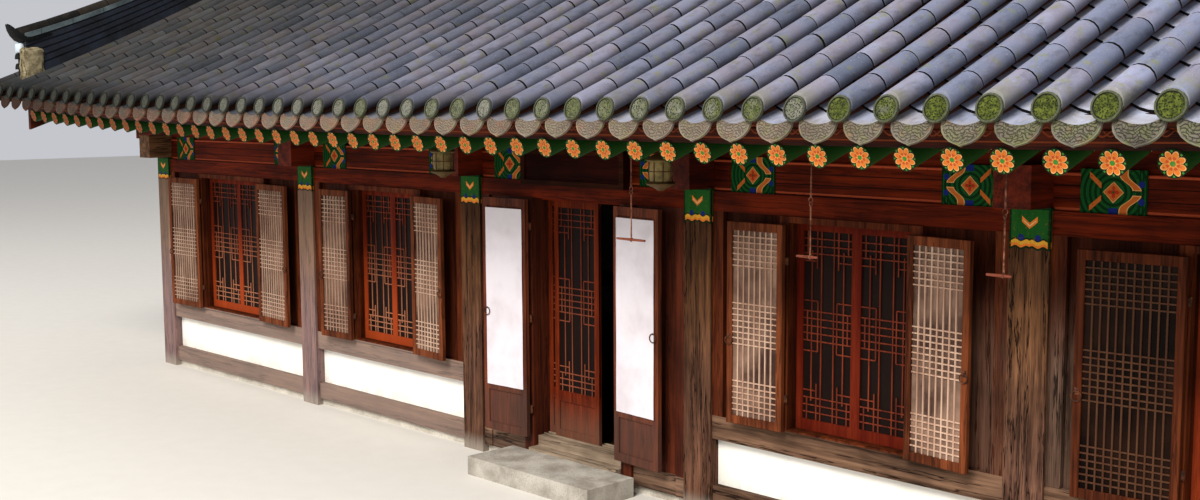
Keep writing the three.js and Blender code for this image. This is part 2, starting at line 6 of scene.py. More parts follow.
import bmesh
import bpy
from mathutils import Matrix, Vector


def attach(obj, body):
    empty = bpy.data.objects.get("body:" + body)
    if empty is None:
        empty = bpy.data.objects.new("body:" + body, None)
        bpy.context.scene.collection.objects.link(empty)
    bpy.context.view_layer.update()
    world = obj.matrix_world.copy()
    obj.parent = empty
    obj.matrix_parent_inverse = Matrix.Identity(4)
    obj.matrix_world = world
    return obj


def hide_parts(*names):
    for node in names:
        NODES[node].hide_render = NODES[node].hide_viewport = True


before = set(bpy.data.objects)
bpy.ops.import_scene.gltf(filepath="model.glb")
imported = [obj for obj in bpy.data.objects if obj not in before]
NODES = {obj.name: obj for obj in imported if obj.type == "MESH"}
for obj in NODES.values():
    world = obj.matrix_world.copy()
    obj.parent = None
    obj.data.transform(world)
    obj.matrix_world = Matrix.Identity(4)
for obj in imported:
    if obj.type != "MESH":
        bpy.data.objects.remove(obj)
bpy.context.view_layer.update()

CHANCE = random.Random(7)

# Sizes that the CAD frame gives
POSTS = (-6.34, -3.6, -1.2, 1.2, 3.6, 6.34)
FRONT = -2.52
EAVE_Y, ROOF_END = 3.85, 7.7
ROOF_FOOT, ROOF_PITCH, ROOF_SAG = 2.77, 0.39, 0.02
RIDGE_X = 7.28
RAFTER_GAP, RAFTER_TIP, RAFTER_TOP = 0.2615, 3.617, 1.16
SILL, SHUTTER_TOP = 0.69, 2.01
WINDOWS = {1: (-4.97, 0.57), 2: (-2.38, 0.45), 4: (2.41, 0.45), 5: (5.05, 0.57)}
SHUTTER_TURN = {1: (2, 3), 2: (3, 4), 4: (2, 6), 5: (3, 3)}
LEAF_HINGE, LEAF_OPEN = (0.47, -2.532), 176

# Sizes of what is added to it
ROW, ROW_SHIFT = 0.2705, 0.04
COVER_RADIUS, COVER_PITCH, COVER_SEAT, COVERS_UP = 0.068, 0.315, -0.042, 13
VALLEY_RADIUS, VALLEY_PITCH, VALLEY_SEAT, VALLEYS_UP = 0.17, 0.165, -0.12, 25
BANNER_SIZE = (0.39, 1.374)
BATCH = 40


def end_rise(x):
    """The eave line climbs early towards the left gable and late towards the right one."""
    return 0.19 * (abs(x) / ROOF_END) ** (2 if x < 0 else 5)


def rise_slope(x):
    return (end_rise(x + 0.01) - end_rise(x - 0.01)) / 0.02


def roof_top(x, y):
    inward = EAVE_Y - abs(y)
    return ROOF_FOOT + ROOF_PITCH * inward + ROOF_SAG * inward * inward + end_rise(x)


def roof_pitch(inward):
    return ROOF_PITCH + 2 * ROOF_SAG * inward


def rafter_axis(x, y):
    """Height of a rafter's axis, which lifts with the eave towards its tip."""
    lift = max(0.0, (abs(y) - 1.15) / 2.47)
    return 3.3026 - 0.333 * (abs(y) - 1.2) + lift * end_rise(x)


def tint(code):
    """A colour from its six-digit code, for a shader."""
    parts = [int(code[k:k + 2], 16) / 255 for k in (0, 2, 4)]
    return tuple(c / 12.92 if c < 0.04045 else ((c + 0.055) / 1.055) ** 2.4 for c in parts)


# Shader sums
class Wire:
    """One socket, so that shader sums read as plain sums."""

    def __init__(self, finish, socket):
        self.finish = finish
        self.socket = socket

    def sum(self, operation, *others):
        values = {0: self, **{k + 1: other for k, other in enumerate(others)}}
        return self.finish.node("Math", {"operation": operation}, values)

    def __add__(self, other):
        return self.sum("ADD", other)

    __radd__ = __add__

    def __sub__(self, other):
        return self.sum("SUBTRACT", other)

    def __rsub__(self, other):
        return self.finish.node("Math", {"operation": "SUBTRACT"}, {0: other, 1: self})

    def __mul__(self, other):
        return self.sum("MULTIPLY", other)

    __rmul__ = __mul__

    def __truediv__(self, other):
        return self.sum("DIVIDE", other)

    def __pow__(self, other):
        return self.sum("POWER", other)

    def __mod__(self, other):
        return self.sum("FLOORED_MODULO", other)

    def __abs__(self):
        return self.sum("ABSOLUTE")

    def __lt__(self, other):
        return self.sum("LESS_THAN", other)

    def __gt__(self, other):
        return self.sum("GREATER_THAN", other)

    def least(self, other):
        return self.sum("MINIMUM", other)

    def most(self, other):
        return self.sum("MAXIMUM", other)

    def floor(self):
        return self.sum("FLOOR")

    def sine(self):
        return self.sum("SINE")

    def soft(self, low, high):
        """0 below low, 1 above high and smooth between them."""
        return self.finish.node("MapRange", {"interpolation_type": "SMOOTHSTEP"},
                                {"Value": self, "From Min": low, "From Max": high})

    def fade(self, low, high):
        """1 below low, 0 above high and smooth between them."""
        return 1 - self.soft(low, high)

    def near(self, middle, reach):
        return abs(self - middle) < reach

    def within(self, low, high):
        return (self > low) * (self < high)


class Finish:
    """One material and the nodes that make it. A colour is a socket, a six-digit code or three
    parts, and a surface is a colour, a roughness and a height."""

    def __init__(self, name):
        self.material = bpy.data.materials.new(name)
        self.material.use_nodes = True
        self.tree = self.material.node_tree
        self.shader = self.tree.nodes["Principled BSDF"]
        self.place = self.node("TexCoord", {}, {}, "Object")
        self.x, self.y, self.z = self.split(self.place)

    def node(self, kind, settings, sockets, out=0):
        made = self.tree.nodes.new("ShaderNode" + kind)
        for name, value in settings.items():
            setattr(made, name, value)
        for key, value in sockets.items():
            self.feed(made.inputs[key], value)
        return Wire(self, made.outputs[out])

    def feed(self, socket, value):
        if isinstance(value, Wire):
            self.tree.links.new(value.socket, socket)
        elif socket.type == "RGBA":
            socket.default_value = (*(tint(value) if isinstance(value, str) else value), 1)
        else:
            socket.default_value = value

    def split(self, vector):
        made = self.tree.nodes.new("ShaderNodeSeparateXYZ")
        self.feed(made.inputs[0], vector)
        return [Wire(self, made.outputs[k]) for k in range(3)]

    def attribute(self, name):
        return self.node("Attribute", {"attribute_name": name}, {}, "Fac")

    def face_place(self):
        """Across and up on a painted face, in metres, from its own UV map."""
        across, up, _ = self.split(self.node("UVMap", {"uv_map": "face"}, {}))
        return across, up

    def round_place(self):
        """How far a place on a round face is from its middle, and its angle about it."""
        across, up = self.face_place()
        angle = self.node("Math", {"operation": "ARCTAN2"}, {0: up, 1: across})
        return (across * across + up * up) ** 0.5, angle

    def stretched(self, stretch):
        return self.node("Mapping", {}, {"Vector": self.place, "Scale": stretch})

    def noise(self, scale, detail=3.0, rough=0.55, at=None, bend=0.0):
        values = {"Vector": at or self.place, "Scale": scale, "Detail": detail,
                  "Roughness": rough, "Distortion": bend}
        return self.node("TexNoise", {}, values)

    def cells(self, scale):
        return self.node("TexVoronoi", {}, {"Vector": self.place, "Scale": scale}, "Distance")

    def mix(self, share, first, second, way="MIX"):
        return self.node("Mix", {"data_type": "RGBA", "blend_type": way},
                         {0: share, 6: first, 7: second}, 2)

    def washes(self, colour, *layers):
        """Thin layers over a colour, each a share, a colour and, if it needs one, a way to mix."""
        for share, second, *way in layers:
            colour = self.mix(share, colour, second, *way)
        return colour

    def blend(self, share, first, second):
        """Two surfaces in one."""
        colour = self.mix(share, first[0], second[0])
        rough = first[1] + (second[1] - first[1]) * share
        height = first[2] + (second[2] - first[2]) * share
        return colour, rough, height

    def over(self, surface, *layers):
        """Washes over a surface, which leave its roughness and height."""
        return self.washes(surface[0], *layers), surface[1], surface[2]

    def coats(self, surface, *layers):
        """Layers of colour rubbed thin over the grain, each a share and a colour: coats of old paint,
        and on the wall plates painted highlights.
        """
        worn = self.noise(48, 4, 0.7).soft(0.3, 0.42)
        colour, rough, height = surface
        for share, paint in layers:
            share = worn * share
            colour = self.mix(share, colour, paint)
            rough = rough + (0.6 - rough) * share
        return colour, rough, height

    def wear(self, surface, strength=0.5, depth=0.004, gloss=0.12):
        colour, rough, height = surface
        self.shader.inputs["Specular IOR Level"].default_value = gloss
        self.feed(self.shader.inputs["Base Color"], colour)
        self.feed(self.shader.inputs["Roughness"], rough)
        bump = self.node("Bump", {}, {"Height": height, "Strength": strength, "Distance": depth})
        self.feed(self.shader.inputs["Normal"], bump)
        return self.material

    # Surfaces
    def timber(self, dark, light, along="Z", fine=1.0, cracks=0.6, stain=0.5):
        """Old timber: long grain, pale streaks, drying cracks and broad stains."""
        thin = 0.05
        stretch = {"X": (thin, 1, 1), "Y": (1, thin, 1), "Z": (1, 1, thin)}[along]
        run = self.stretched(stretch)
        grain = self.noise(95 * fine, 3, 0.6, run)
        streak = self.noise(17 * fine, 4, 0.6, run, 0.4)
        broad = self.noise(1.6, 3, 0.6)
        split = self.noise(9 * fine, 5, 0.65, run, 0.3)
        gap = abs(split - 0.5).fade(0.004, 0.016)
        tone = (grain * 0.4 + streak * 0.75 - 0.1).soft(0.2, 0.85)
        colour = self.washes(
            self.mix(tone, dark, light),
            (broad.soft(0.42, 0.7) * stain, dark, "MULTIPLY"),
            (gap * cracks, tuple(c * 0.22 for c in tint(dark))))
        rough = 0.62 + grain * 0.22 - streak * 0.08
        height = grain * 0.35 + streak * 0.45 - gap * cracks
        return colour, rough, height

    def lime(self):
        """Lime plaster with faint trowel clouds, and dust where rain splashes."""
        cloud = self.noise(2.2, 4, 0.6)
        spots = self.noise(60, 2, 0.5)
        splash = self.z.fade(0.2, 0.34) * self.noise(9, 4, 0.7).soft(0.35, 0.7)
        colour = self.washes(
            self.mix(cloud.soft(0.35, 0.75), "f4f2ec", "e4e0d6"),
            (spots.soft(0.68, 0.75) * 0.25, "b3a795"),
            (splash * 0.35, "a89a86"))
        return colour, 0.82 + spots * 0.12, cloud * 0.5 + spots * 0.2

    def rock(self, dark, light):
        big = self.noise(5, 5, 0.6)
        grit = self.noise(140, 2, 0.6)
        pits = self.cells(38)
        colour = self.mix(big.soft(0.3, 0.7), dark, light)
        colour = self.mix(grit.soft(0.5, 0.7) * 0.5, colour, "5f5a52")
        return colour, 0.8 + grit * 0.15, big * 0.6 + grit * 0.2 + pits.soft(0.0, 0.35) * 0.3

    def clay(self, dark, light, growth, dip):
        """Fired grey clay: each tile has its own tone, with purple-brown weather and lichen.
        Dip says how far a place lies down between the tiles, and so how much painted shade darkens it."""
        tone = self.attribute("tone")
        cloud = self.noise(3.1, 5, 0.65)
        streaks = self.noise(22, 4, 0.6, self.stretched((1, 0.25, 0.6)))
        specks = self.noise(110, 2, 0.6)
        lichen = (self.noise(11, 5, 0.7) + tone * 0.08).soft(0.58, 0.72)
        out = abs(self.y)
        near_eave = out.soft(3.6, EAVE_Y) * self.x.soft(-2, 4) * cloud.soft(0.45, 0.6)
        damp = out.soft(3.5, 3.8) * self.x.fade(-2.0, 3.5)
        colour = self.washes(
            self.mix((tone * 0.9 + cloud * 0.6 - 0.25).soft(0.1, 0.9), dark, light),
            ((cloud + tone * 0.3).soft(0.56, 0.8) * 0.5, "75666a"),
            (streaks.soft(0.45, 0.8) * 0.5, "33333c"),
            (specks.soft(0.6, 0.72) * 0.3, "b9b9c0"),
            ((lichen * 0.5).most(near_eave * 0.4), growth),
            (damp * 0.55, "20242e"),
            # Painted shade: darker low down between the tiles.
            (dip * (self.x.fade(-3.0, 4.0) * 0.3 + 0.65), "3c3a42", "MULTIPLY"),
            # Darker and browner towards the middle and the left: partly weathering, partly painted tree
            # shade.
            (self.x.fade(1.0, 6.0) * 0.5, "cfc2b6", "MULTIPLY"),
            (self.x.fade(-6.0, 2.5) * 0.92, "77755e", "MULTIPLY"))
        return colour, 0.6 + streaks * 0.25, cloud * 0.3 + streaks * 0.4 + specks * 0.3

    def rust(self, dark="2a1c16", light="6b3d26"):
        patch = self.noise(30, 4, 0.65)
        return self.mix(patch.soft(0.35, 0.7), dark, light), 0.55 + patch * 0.35, patch

    def glass(self, pale):
        """Dark glass with a faint haze."""
        haze = self.noise(3, 3, 0.5)
        return self.mix(haze, "0b0504", pale), haze * 0.1 + 0.5, haze * 0.02


GREEN, DEEP_GREEN = "175119", "08260c"
ORANGE, PALE_ORANGE = "e07a2c", "efb36c"
BLUE, CREAM, YELLOW = "17246a", "d8c48e", "d79f32"
RED_BROWN = ("280702", "7e280b")


# Finishes of the frame and the walls
def plain_timber(name, dark, light, along, **kind):
    f = Finish(name)
    return f.wear(f.timber(dark, light, along, **kind), 0.6, 0.004)


def post_finish():
    """Weathered posts with a painted band round the head of the front ones; the middle posts are
    darkened with painted shade.
    """
    f = Finish("weathered_post")
    wood = f.over(
        f.timber("24130b", "a06f4a", "Z", 1.6, 0.95),
        (f.z.soft(1.2, 2.1) * 0.55, "6a4226", "MULTIPLY"),
        # Painted shade: the posts in the middle bays are darker.
        ((abs(f.x) < 1.5) * 0.5, "a08e70", "MULTIPLY"),
        ((f.x < -3) * 0.3, "a98f7c"),
        (f.z.fade(0.7, 1.7), (0.9, 0.96, 1.4), "MULTIPLY"),
        (f.z.fade(0.0, 0.16) * 0.55, "a59d90"))
    across = abs(f.y - (FRONT + 0.12))
    for x in POSTS:
        across = across.least(abs(f.x - x))
    up = f.z - 1.972
    wave = ((across * 95).sine() + 1) * 0.006
    head = up > wave
    spot = ((across - 0.05) ** 2 + (up - 0.068) ** 2) < 0.0003
    bend = abs(up - 0.132 - across * 0.8)
    surface = f.coats(
        wood, (head, DEEP_GREEN), (up > wave + 0.012, ORANGE), (up > wave + 0.026, YELLOW),
        (up > wave + 0.046, DEEP_GREEN), (up > wave + 0.056, GREEN), (spot, BLUE),
        ((bend < 0.016) * (across < 0.046) * (up < 0.185), ORANGE),
        ((bend < 0.003) * (across < 0.038), CREAM),
        ((across > 0.108).most(up > 0.222) * head, DEEP_GREEN))
    return f.wear(surface, 0.7, 0.005, 0.06)


def plate_finish():
    """The long members over the windows, with pale red lines of painted highlight along their edges."""
    f = Finish("painted_member")
    outside = abs(f.y) > 2.47
    # Painted highlights: pale red lines where the edges of the members catch the light; the seams are
    # dark joints.
    lines = f.z.near(2.205, 0.006).most(f.z.near(2.388, 0.006)) * outside
    seams = f.z.near(2.262, 0.0025).most(f.z.near(2.327, 0.0025)) * outside
    surface = f.coats(f.timber(*RED_BROWN, "X", 0.8, 0.45), (lines * 0.8, "a8492a"))
    colour, rough, height = f.over(surface, (seams, "120604"))
    return f.wear((colour, rough, height - seams * 1.5), 0.6, 0.004, 0.05)


def bay_finish():
    """A window bay: ground rail, plaster, sill beam, boarding, jambs, sashes and dark panes."""
    f = Finish("window_bay")
    left = f.x.fade(-2.5, 1.5)
    behind = f.y - FRONT
    rail = f.over(f.timber("2a1a12", "8e6c55", "X", 1.0, 0.9), (left * 0.5, "958279"))
    jamb = f.timber("280c05", "7a3a1c", "Z", 1.0, 0.5)
    board = f.timber("200903", "5e2813", "Z", 0.7, 0.5)
    bare = f.timber("24160f", "7c6050", "Z", 1.2, 0.9)
    red = f.over(
        f.timber("3e0d05", "8e3618", "Z", 1.2, 0.25),
        ((left * 0.3).most(f.x.near(WINDOWS[4][0], 0.9) * 0.5), "4c0a04"),
        (left * f.z.fade(0.9, 1.7) * 0.5, "b0481c"))
    bared = f.x.within(3.6, 3.96).most(f.x.within(3.05, 3.6) * 0.6)
    inner = sum(f.x.near(middle, half + 0.001) for middle, half in WINDOWS.values())
    surface = f.blend(behind.within(0.055, 0.165), jamb, board)
    for share, part in (
            (bared * f.z.fade(1.3, 1.9), bare),
            (f.z < SILL, rail),
            (behind.within(0.098, 0.142) * f.z.within(0.7, 2.02) * inner, red),
            (behind.near(0.12, 0.0085) * f.z.within(0.765, 1.975) * inner, f.glass("1f130f")),
            (behind.within(0.08, 0.19) * f.z.within(0.2055, 0.5295), f.lime())):
        surface = f.blend(share, surface, part)
    return f.wear(surface, 0.6, 0.004, 0.05)


def wall_finish(name, axis, middle, beams=False):
    """Plaster between timbers: what stands proud of the plaster is wood."""
    f = Finish(name)
    along, offset = {"x": ("Y", f.x), "y": ("X", f.y)}[axis]
    proud = abs(abs(offset) - middle) > 0.055
    if beams:
        proud = proud.most(f.z < 2.551).most(abs(f.y) > 2.2)
    if axis == "y":
        proud = proud.most(abs(f.x) > 6.215)
    rails = f.timber("2c170c", "9a6f4a", along, 1.0, 0.7)
    posts = f.timber("2c170c", "9a6f4a", "Z", 1.0, 0.7)
    wood = f.blend((f.z < 0.7).most(f.z > 2.059), posts, rails)
    return f.wear(f.blend(proud, f.lime(), wood), 0.6, 0.004)


def leaf_finish(name, side):
    """An outer door leaf: brown boards, with iron where its hinges and ring stand proud."""
    f = Finish(name)
    turn = math.radians(side * LEAF_OPEN)
    across = f.x - side * LEAF_HINGE[0]
    away = f.y - LEAF_HINGE[1]
    depth = away * math.cos(turn) - across * math.sin(turn)
    fittings = (depth > 0.0558).most(depth < 0.0165)
    wood = f.over(f.timber("2e0f07", "8c4526", "Z", 1.0, 0.5), (f.z.fade(0.5, 0.72) * 0.6, "40302a"))
    return f.wear(f.blend(fittings, wood, f.rust()), 0.6, 0.004)


def side_finish():
    """The boards beside the door, on a bare ground rail, with iron hinge pins."""
    f = Finish("door_side_boards")
    wood = f.timber("240a05", "6e3018", "Z", 0.9, 0.6)
    low = f.timber("2c1c14", "96745d", "X", 1.0, 0.9)
    surface = f.blend((f.z < 0.2055) * (abs(f.x) > 0.571), wood, low)
    return f.wear(f.blend(f.y < FRONT + 0.004, surface, f.rust()), 0.6, 0.004)


def sash_finish(name, middle_y):
    """A sliding inner leaf: red-brown frame, with dark glass in its upper panel."""
    f = Finish(name)
    wood = f.over(f.timber("3c0e05", "8e3614", "Z", 1.2, 0.3), (f.z.fade(0.28, 0.6) * 0.45, "6a5040"))
    pane = f.y.near(middle_y, 0.0055) * f.z.within(0.602, 1.99)
    return f.wear(f.blend(pane, wood, f.glass("1c110e")), 0.5, 0.003, 0.05)


def stone_finish(name, dark, light):
    f = Finish(name)
    return f.wear(f.rock(dark, light), 0.8, 0.006)


# Finishes of the roof
def tile_finish(name, dark, light, growth, painted_shade_of=None):
    """Tile clay; the function given tells from a place in a tile's end view how deep it lies between
    the tiles, and so how much painted shade darkens it.
    """
    f = Finish(name)
    dip = painted_shade_of(*f.face_place()) if painted_shade_of else 0.0
    return f.wear(f.clay(dark, light, growth, dip), 0.5, 0.003)


def joint_finish():
    """The lips and necks of the tiles, dark partly with soot and damp and partly with painted shade."""
    f = Finish("dark_tile_joint")
    soot = f.noise(30, 3, 0.6)
    return f.wear((f.mix(soot, "070608", "1b1719"), 0.85 + soot * 0.1, soot), 0.4, 0.002)


def earth_finish():
    """Red-brown bedding earth that shows between the tiles."""
    f = Finish("bedding_earth")
    clod = f.noise(35, 4, 0.7)
    return f.wear((f.mix(clod, "3a1d12", "7a4a33"), 0.9 + clod * 0.08, clod), 0.8, 0.006)


def mid_eave(f):
    """The middle of the eave, where the end tiles are palest."""
    return f.x.soft(-4.5, -1.5) * f.x.fade(2.0, 5.0)


def disc_finish():
    """End discs: a worn pattern inside a rim, mossy towards the right end of the house."""
    f = Finish("mossy_end_disc")
    reach, angle = f.round_place()
    tone = f.attribute("tone")
    bend = f.noise(45, 3, 0.6) * 6
    rings = (reach * 420 + bend + tone * 9).sine() * (angle * 5 + bend + tone * 5).sine()
    grain = f.noise(130, 4, 0.75)
    blobs = f.cells(105).soft(0.1, 0.55)
    relief = (rings * 0.1 + blobs * 0.5 + grain * 0.9 - 0.25).soft(0.25, 0.7)
    inside = reach < 0.055
    bare = f.mix(f.noise(30, 3, 0.6), "4b4e46", "6d6e60")
    moss = f.mix(f.noise(40, 4, 0.7).soft(0.35, 0.65), "2b3411", "565e24")
    share = (f.noise(16, 3, 0.6) * 0.6 + tone * 0.7 + f.x * 0.08 - 0.28).soft(0.3, 0.62)
    colour = f.washes(
        bare,
        (mid_eave(f) * 0.3, "8f8d84"),
        (share * (f.x.soft(-1.0, 4.0) * 0.5 + 0.5) * inside, moss),
        ((1 - relief) * inside * 0.9, "171c14"),
        (reach > 0.0565, f.mix(f.noise(50, 3, 0.6) * share, "45473f", "535939")),
        (reach.near(0.056, 0.0022) * 0.8, "12140f"),
        # Painted shade: darker towards the left.
        (f.x.fade(-6.0, 0.5) * 0.8, "46464e", "MULTIPLY"))
    return f.wear((colour, 0.85 + grain * 0.1, relief), 0.9, 0.004)


def pendant_finish():
    """Hanging end tiles: engraved waves inside a plain rim."""
    f = Finish("pendant_end_tile")
    across, up = f.face_place()
    tone = f.attribute("tone")
    bend = f.noise(22, 3, 0.6)
    wave = abs((up * 190 + (across * 62 + bend * 6).sine() * 2.4).sine())
    wave_two = abs((across * 120 + (up * 80 + bend * 7).sine() * 1.8).sine())
    groove = 1 - wave.least(wave_two + 0.2).soft(0.1, 0.6)
    inside = across * across * 94 + (up - 0.01) * (up - 0.01) * 118 < 1
    inside = inside * (up < 0.002 + across * across * 2.2)
    stain = f.noise(9, 4, 0.65)
    green = (f.noise(14, 4, 0.7) + f.x * 0.012 + tone * 0.15).soft(0.56, 0.74)
    rust = (f.noise(12, 4, 0.7) - f.x * 0.02 + tone * 0.1).soft(0.5, 0.75)
    colour = f.washes(
        f.mix(stain.soft(0.3, 0.7), "4c4840", "706c61"),
        (green * 0.5, "67703a"),
        (rust * 0.55, "8e523e"),
        (inside * 0.35, "4a463c"),
        (groove * inside * 0.8, "1d1b16"),
        (mid_eave(f) * 0.2, "a8907e"),
        # Painted shade: darker and greyer towards the far left.
        (f.x.fade(-7.2, -2.5), "897f78", "MULTIPLY"))
    return f.wear((colour, 0.85 + stain * 0.1, inside * (0 - groove)), 0.9, 0.005)


def ridge_finish():
    """Flat ridge tiles laid in courses, with a joint at each tile."""
    f = Finish("ridge_courses")
    run, up = f.attribute("run"), f.attribute("up")
    course = (up / 0.058).floor()
    joint = ((run / 0.3 + course * 0.37) % 1.0) < 0.02
    cloud = f.noise(4, 5, 0.65)
    dust = f.noise(60, 3, 0.6)
    colour = f.washes(
        f.mix(cloud.soft(0.3, 0.7), "070a10", "1b2230"),
        (dust.soft(0.55, 0.7) * 0.3, "3c3a36"),
        (joint * 0.7, "0d0e12"))
    return f.wear((colour, 0.6 + dust * 0.2, cloud * 0.4 + dust * 0.3 - joint * 2), 0.6, 0.004, 0.3)


def pale_course_finish():
    f = Finish("pale_ridge_course")
    cloud = f.noise(5, 5, 0.65)
    joint = (f.attribute("run") / 0.34 % 1.0) < 0.03
    colour = f.mix(joint * 0.6, f.mix(cloud.soft(0.3, 0.7), "394246", "5c686b"), "25272b")
    return f.wear((colour, 0.7 + cloud * 0.15, cloud - joint), 0.6, 0.003)


def block_finish():
    """The pale weathered end block at the foot of each descending ridge."""
    f = Finish("weathered_end_block")
    big = f.noise(13, 5, 0.65)
    lichen = f.noise(40, 4, 0.7)
    colour = f.mix(big.soft(0.3, 0.7), "605641", "9c9072")
    colour = f.mix(lichen.soft(0.55, 0.68) * 0.6, colour, "5c5639")
    return f.wear((colour, 0.9, big + lichen * 0.4), 0.9, 0.012)


def lime_in_painted_shade():
    """Lime mortar, greyed and blued with painted shade."""
    f = Finish("lime_mortar")
    return f.wear(f.over(f.lime(), (1.0, "c9d8eb", "MULTIPLY")), 0.5, 0.004)


# Finishes of the eaves
def rafter_finish():
    """Rafters: red-brown shafts, painted green towards the tip."""
    f = Finish("rafter_paint")
    out = abs(f.y)
    surface = f.coats(
        f.timber("230a04", "70300f", "Y", 1.0, 0.3),
        (out > 3.345, "1a4417"), (out.within(3.345, 3.385), DEEP_GREEN),
        (out.near(3.343, 0.006), CREAM), (out.near(3.322, 0.015), ORANGE))
    return f.wear(surface, 0.5, 0.003)


def flower_finish():
    """Eight-petalled flowers on the rafter ends."""
    f = Finish("rafter_end_flower")
    reach, angle = f.round_place()
    lobe = abs((angle * 4).sine())
    petal = reach < lobe * 0.02 + 0.039
    seam = (lobe < 0.16) * (reach > 0.02) * petal
    dots = (lobe < 0.3) * reach.near(0.056, 0.0045)
    surface = f.coats(
        f.timber("14200e", "243c1a", "Z", 1.0, 0.2),
        (petal, PALE_ORANGE),
        ((reach < lobe * 0.02 + 0.034) * (lobe > 0.34), ORANGE),
        (reach.near(0.025, 0.006) * (lobe > 0.5), "c4501c"))
    surface = f.coats(f.over(surface, (seam, "9c3a16")), ((reach < 0.012).most(dots), "3f8a34"))
    # Painted shade: the flowers darken towards the left.
    painted_shade_left = f.x.fade(-6.0, 2.5) * 0.8
    return f.wear(f.over(surface, (painted_shade_left, "7c5a38", "MULTIPLY")), 0.4, 0.002)


def eave_board_finish():
    """Red-brown eave board with faint running scrolls over a dark lower edge."""
    f = Finish("eave_board_paint")
    up = f.attribute("up")
    curl = up - 0.075 - (f.x * 52.36).sine() * 0.016
    curl_two = up - 0.08 + (f.x * 52.36 + 1.2).sine() * 0.02
    lines = (abs(curl) < 0.0045).most(abs(curl_two) < 0.003).most(up.near(0.034, 0.004))
    surface = f.coats(f.timber("260a04", "6c2b12", "X", 1.0, 0.4), (lines * 0.55, "94431e"),
                      ((up < 0.016) * 0.6, "1d0804"))
    return f.wear(surface, 0.5, 0.003)


def panel_finish():
    """Painted end panels: a diamond flower on green, with curls towards the middle of the bay."""
    f = Finish("painted_end_panel")
    u, v = f.face_place()
    high = abs(v)
    rings = (((u * u + v * v) ** 0.5) * 210).sine() > 0.1
    stripes = (u > 0.135) * ((u * 330).sine() > 0)
    stroke = (abs(high - 0.062 + (u + 0.1) * 0.9) < 0.015) * u.within(-0.13, -0.066)
    curl = abs(u - 0.125 + high * 0.7 - (high * 62).sine() * 0.012)
    spot = ((u - 0.15) ** 2 + (high - 0.045) ** 2) < 0.0003
    diamond = abs(u) + high
    surface = f.coats(
        f.timber("061c0c", "103c1a", "Z", 1.0, 0.3),
        (1.0, "124a1e"), (rings * 0.8, "06180a"), (stripes, DEEP_GREEN), (stroke, "b45c24"),
        ((curl < 0.024) * (high > 0.012), "d29a5c"), ((curl < 0.018) * (high > 0.016), "b45c24"),
        (spot, BLUE), ((abs(u) < 0.024) * (high > 0.082), BLUE),
        (diamond < 0.056, "d29a5c"), (diamond < 0.051, "b45c24"),
        ((diamond < 0.034) * (abs(u).least(high) < 0.009), "a32a18"), (diamond < 0.009, GREEN))
    return f.wear(surface, 0.4, 0.002, 0.03)


# Finishes of the windows, the door and the fittings
def last_window(f):
    """The window at the right end of the front, whose shutters are darker."""
    return f.x.near(WINDOWS[5][0], 1.2) * (f.y < 0)


def lattice_dimness(f):
    """The lattices are darker on the last window, and darker towards the left with painted tree shade.
    """
    return last_window(f).most(f.x.fade(-5.5, 2.0) * 0.3)


def lattice_finish():
    f = Finish("pale_lattice_wood")
    wood = f.timber("9c7460", "dcc0a8", "Z", 2.0, 0.1, 0.5)
    # Darker on the last window, and painted shade towards the left.
    return f.wear(f.over(wood, (lattice_dimness(f), "66503f", "MULTIPLY")), 0.6, 0.004)


def frame_finish():
    """Shutter frames, darker on the last window."""
    f = Finish("shutter_frame_wood")
    wood = f.timber("2e1008", "8c4a28", "Z", 1.0, 0.5)
    return f.wear(f.over(wood, (last_window(f) * 0.6, "8a6c5c", "MULTIPLY")), 0.6, 0.004, 0.06)


def fret_finish():
    """Fret bars: red-brown, and rubbed paler low down towards the left."""
    f = Finish("red_fret_wood")
    rubbed = f.x.fade(-2.5, 1.0) * f.z.fade(0.9, 1.7)
    wood = f.timber("45130a", "8c3d22", "Z", 2.0, 0.1)
    return f.wear(f.over(wood, (rubbed * 0.5, "bd8260")), 0.6, 0.004)


def pane_finish():
    """Old glass and paper behind the lattice, with soft clouds in it."""
    f = Finish("lattice_backing")
    cloud = f.noise(2.4, 4, 0.55)
    colour = f.mix(cloud.soft(0.35, 0.65), "3a2822", "8a6e5d")
    # Darker on the last window, and painted shade towards the left.
    colour = f.mix(lattice_dimness(f), colour, "40302a", "MULTIPLY")
    return f.wear((colour, cloud * 0.15 + 0.2, cloud * 0.1), 0.2, 0.002, 0.05)


def banner_finish():
    f = Finish("banner_cloth")
    warp = ((f.z * 2600).sine() * 0.5 + 0.5) * 0.5
    weft = ((f.x * 2600).sine() * 0.5 + 0.5) * 0.5
    stain = f.noise(3, 4, 0.6)
    colour = f.mix(stain.soft(0.35, 0.75), "d8d2d8", "c4bcc2")
    return f.wear((colour, 0.85 + warp * 0.1, warp + weft + stain), 0.2, 0.001)


def lantern_finish():
    """Yellowed glass between a brass foot and a brass cap."""
    f = Finish("lantern_glass_and_brass")
    cloud = f.noise(18, 4, 0.6)
    brass = f.z.soft(2.39, 2.42).most(f.z.fade(2.27, 2.285))
    colour = f.mix(brass, f.mix(cloud.soft(0.3, 0.7), "5c5030", "8d7f50"),
                   f.mix(cloud, "2e2318", "6a5430"))
    return f.wear((colour, 0.35 + cloud * 0.25, cloud * 0.4), 0.4, 0.002)


def board_finish():
    """A blank black board in a brown frame."""
    f = Finish("black_name_board")
    board = f.timber("120302", "3a1008", "X", 1.0, 0.4)
    rim = f.timber("180905", "46200f", "X", 1.0, 0.5)
    return f.wear(f.blend(f.y < FRONT - 0.034, board, rim), 0.5, 0.003, 0.03)


def iron_finish(name, *colours):
    f = Finish(name)
    return f.wear(f.rust(*colours), 0.6, 0.002)


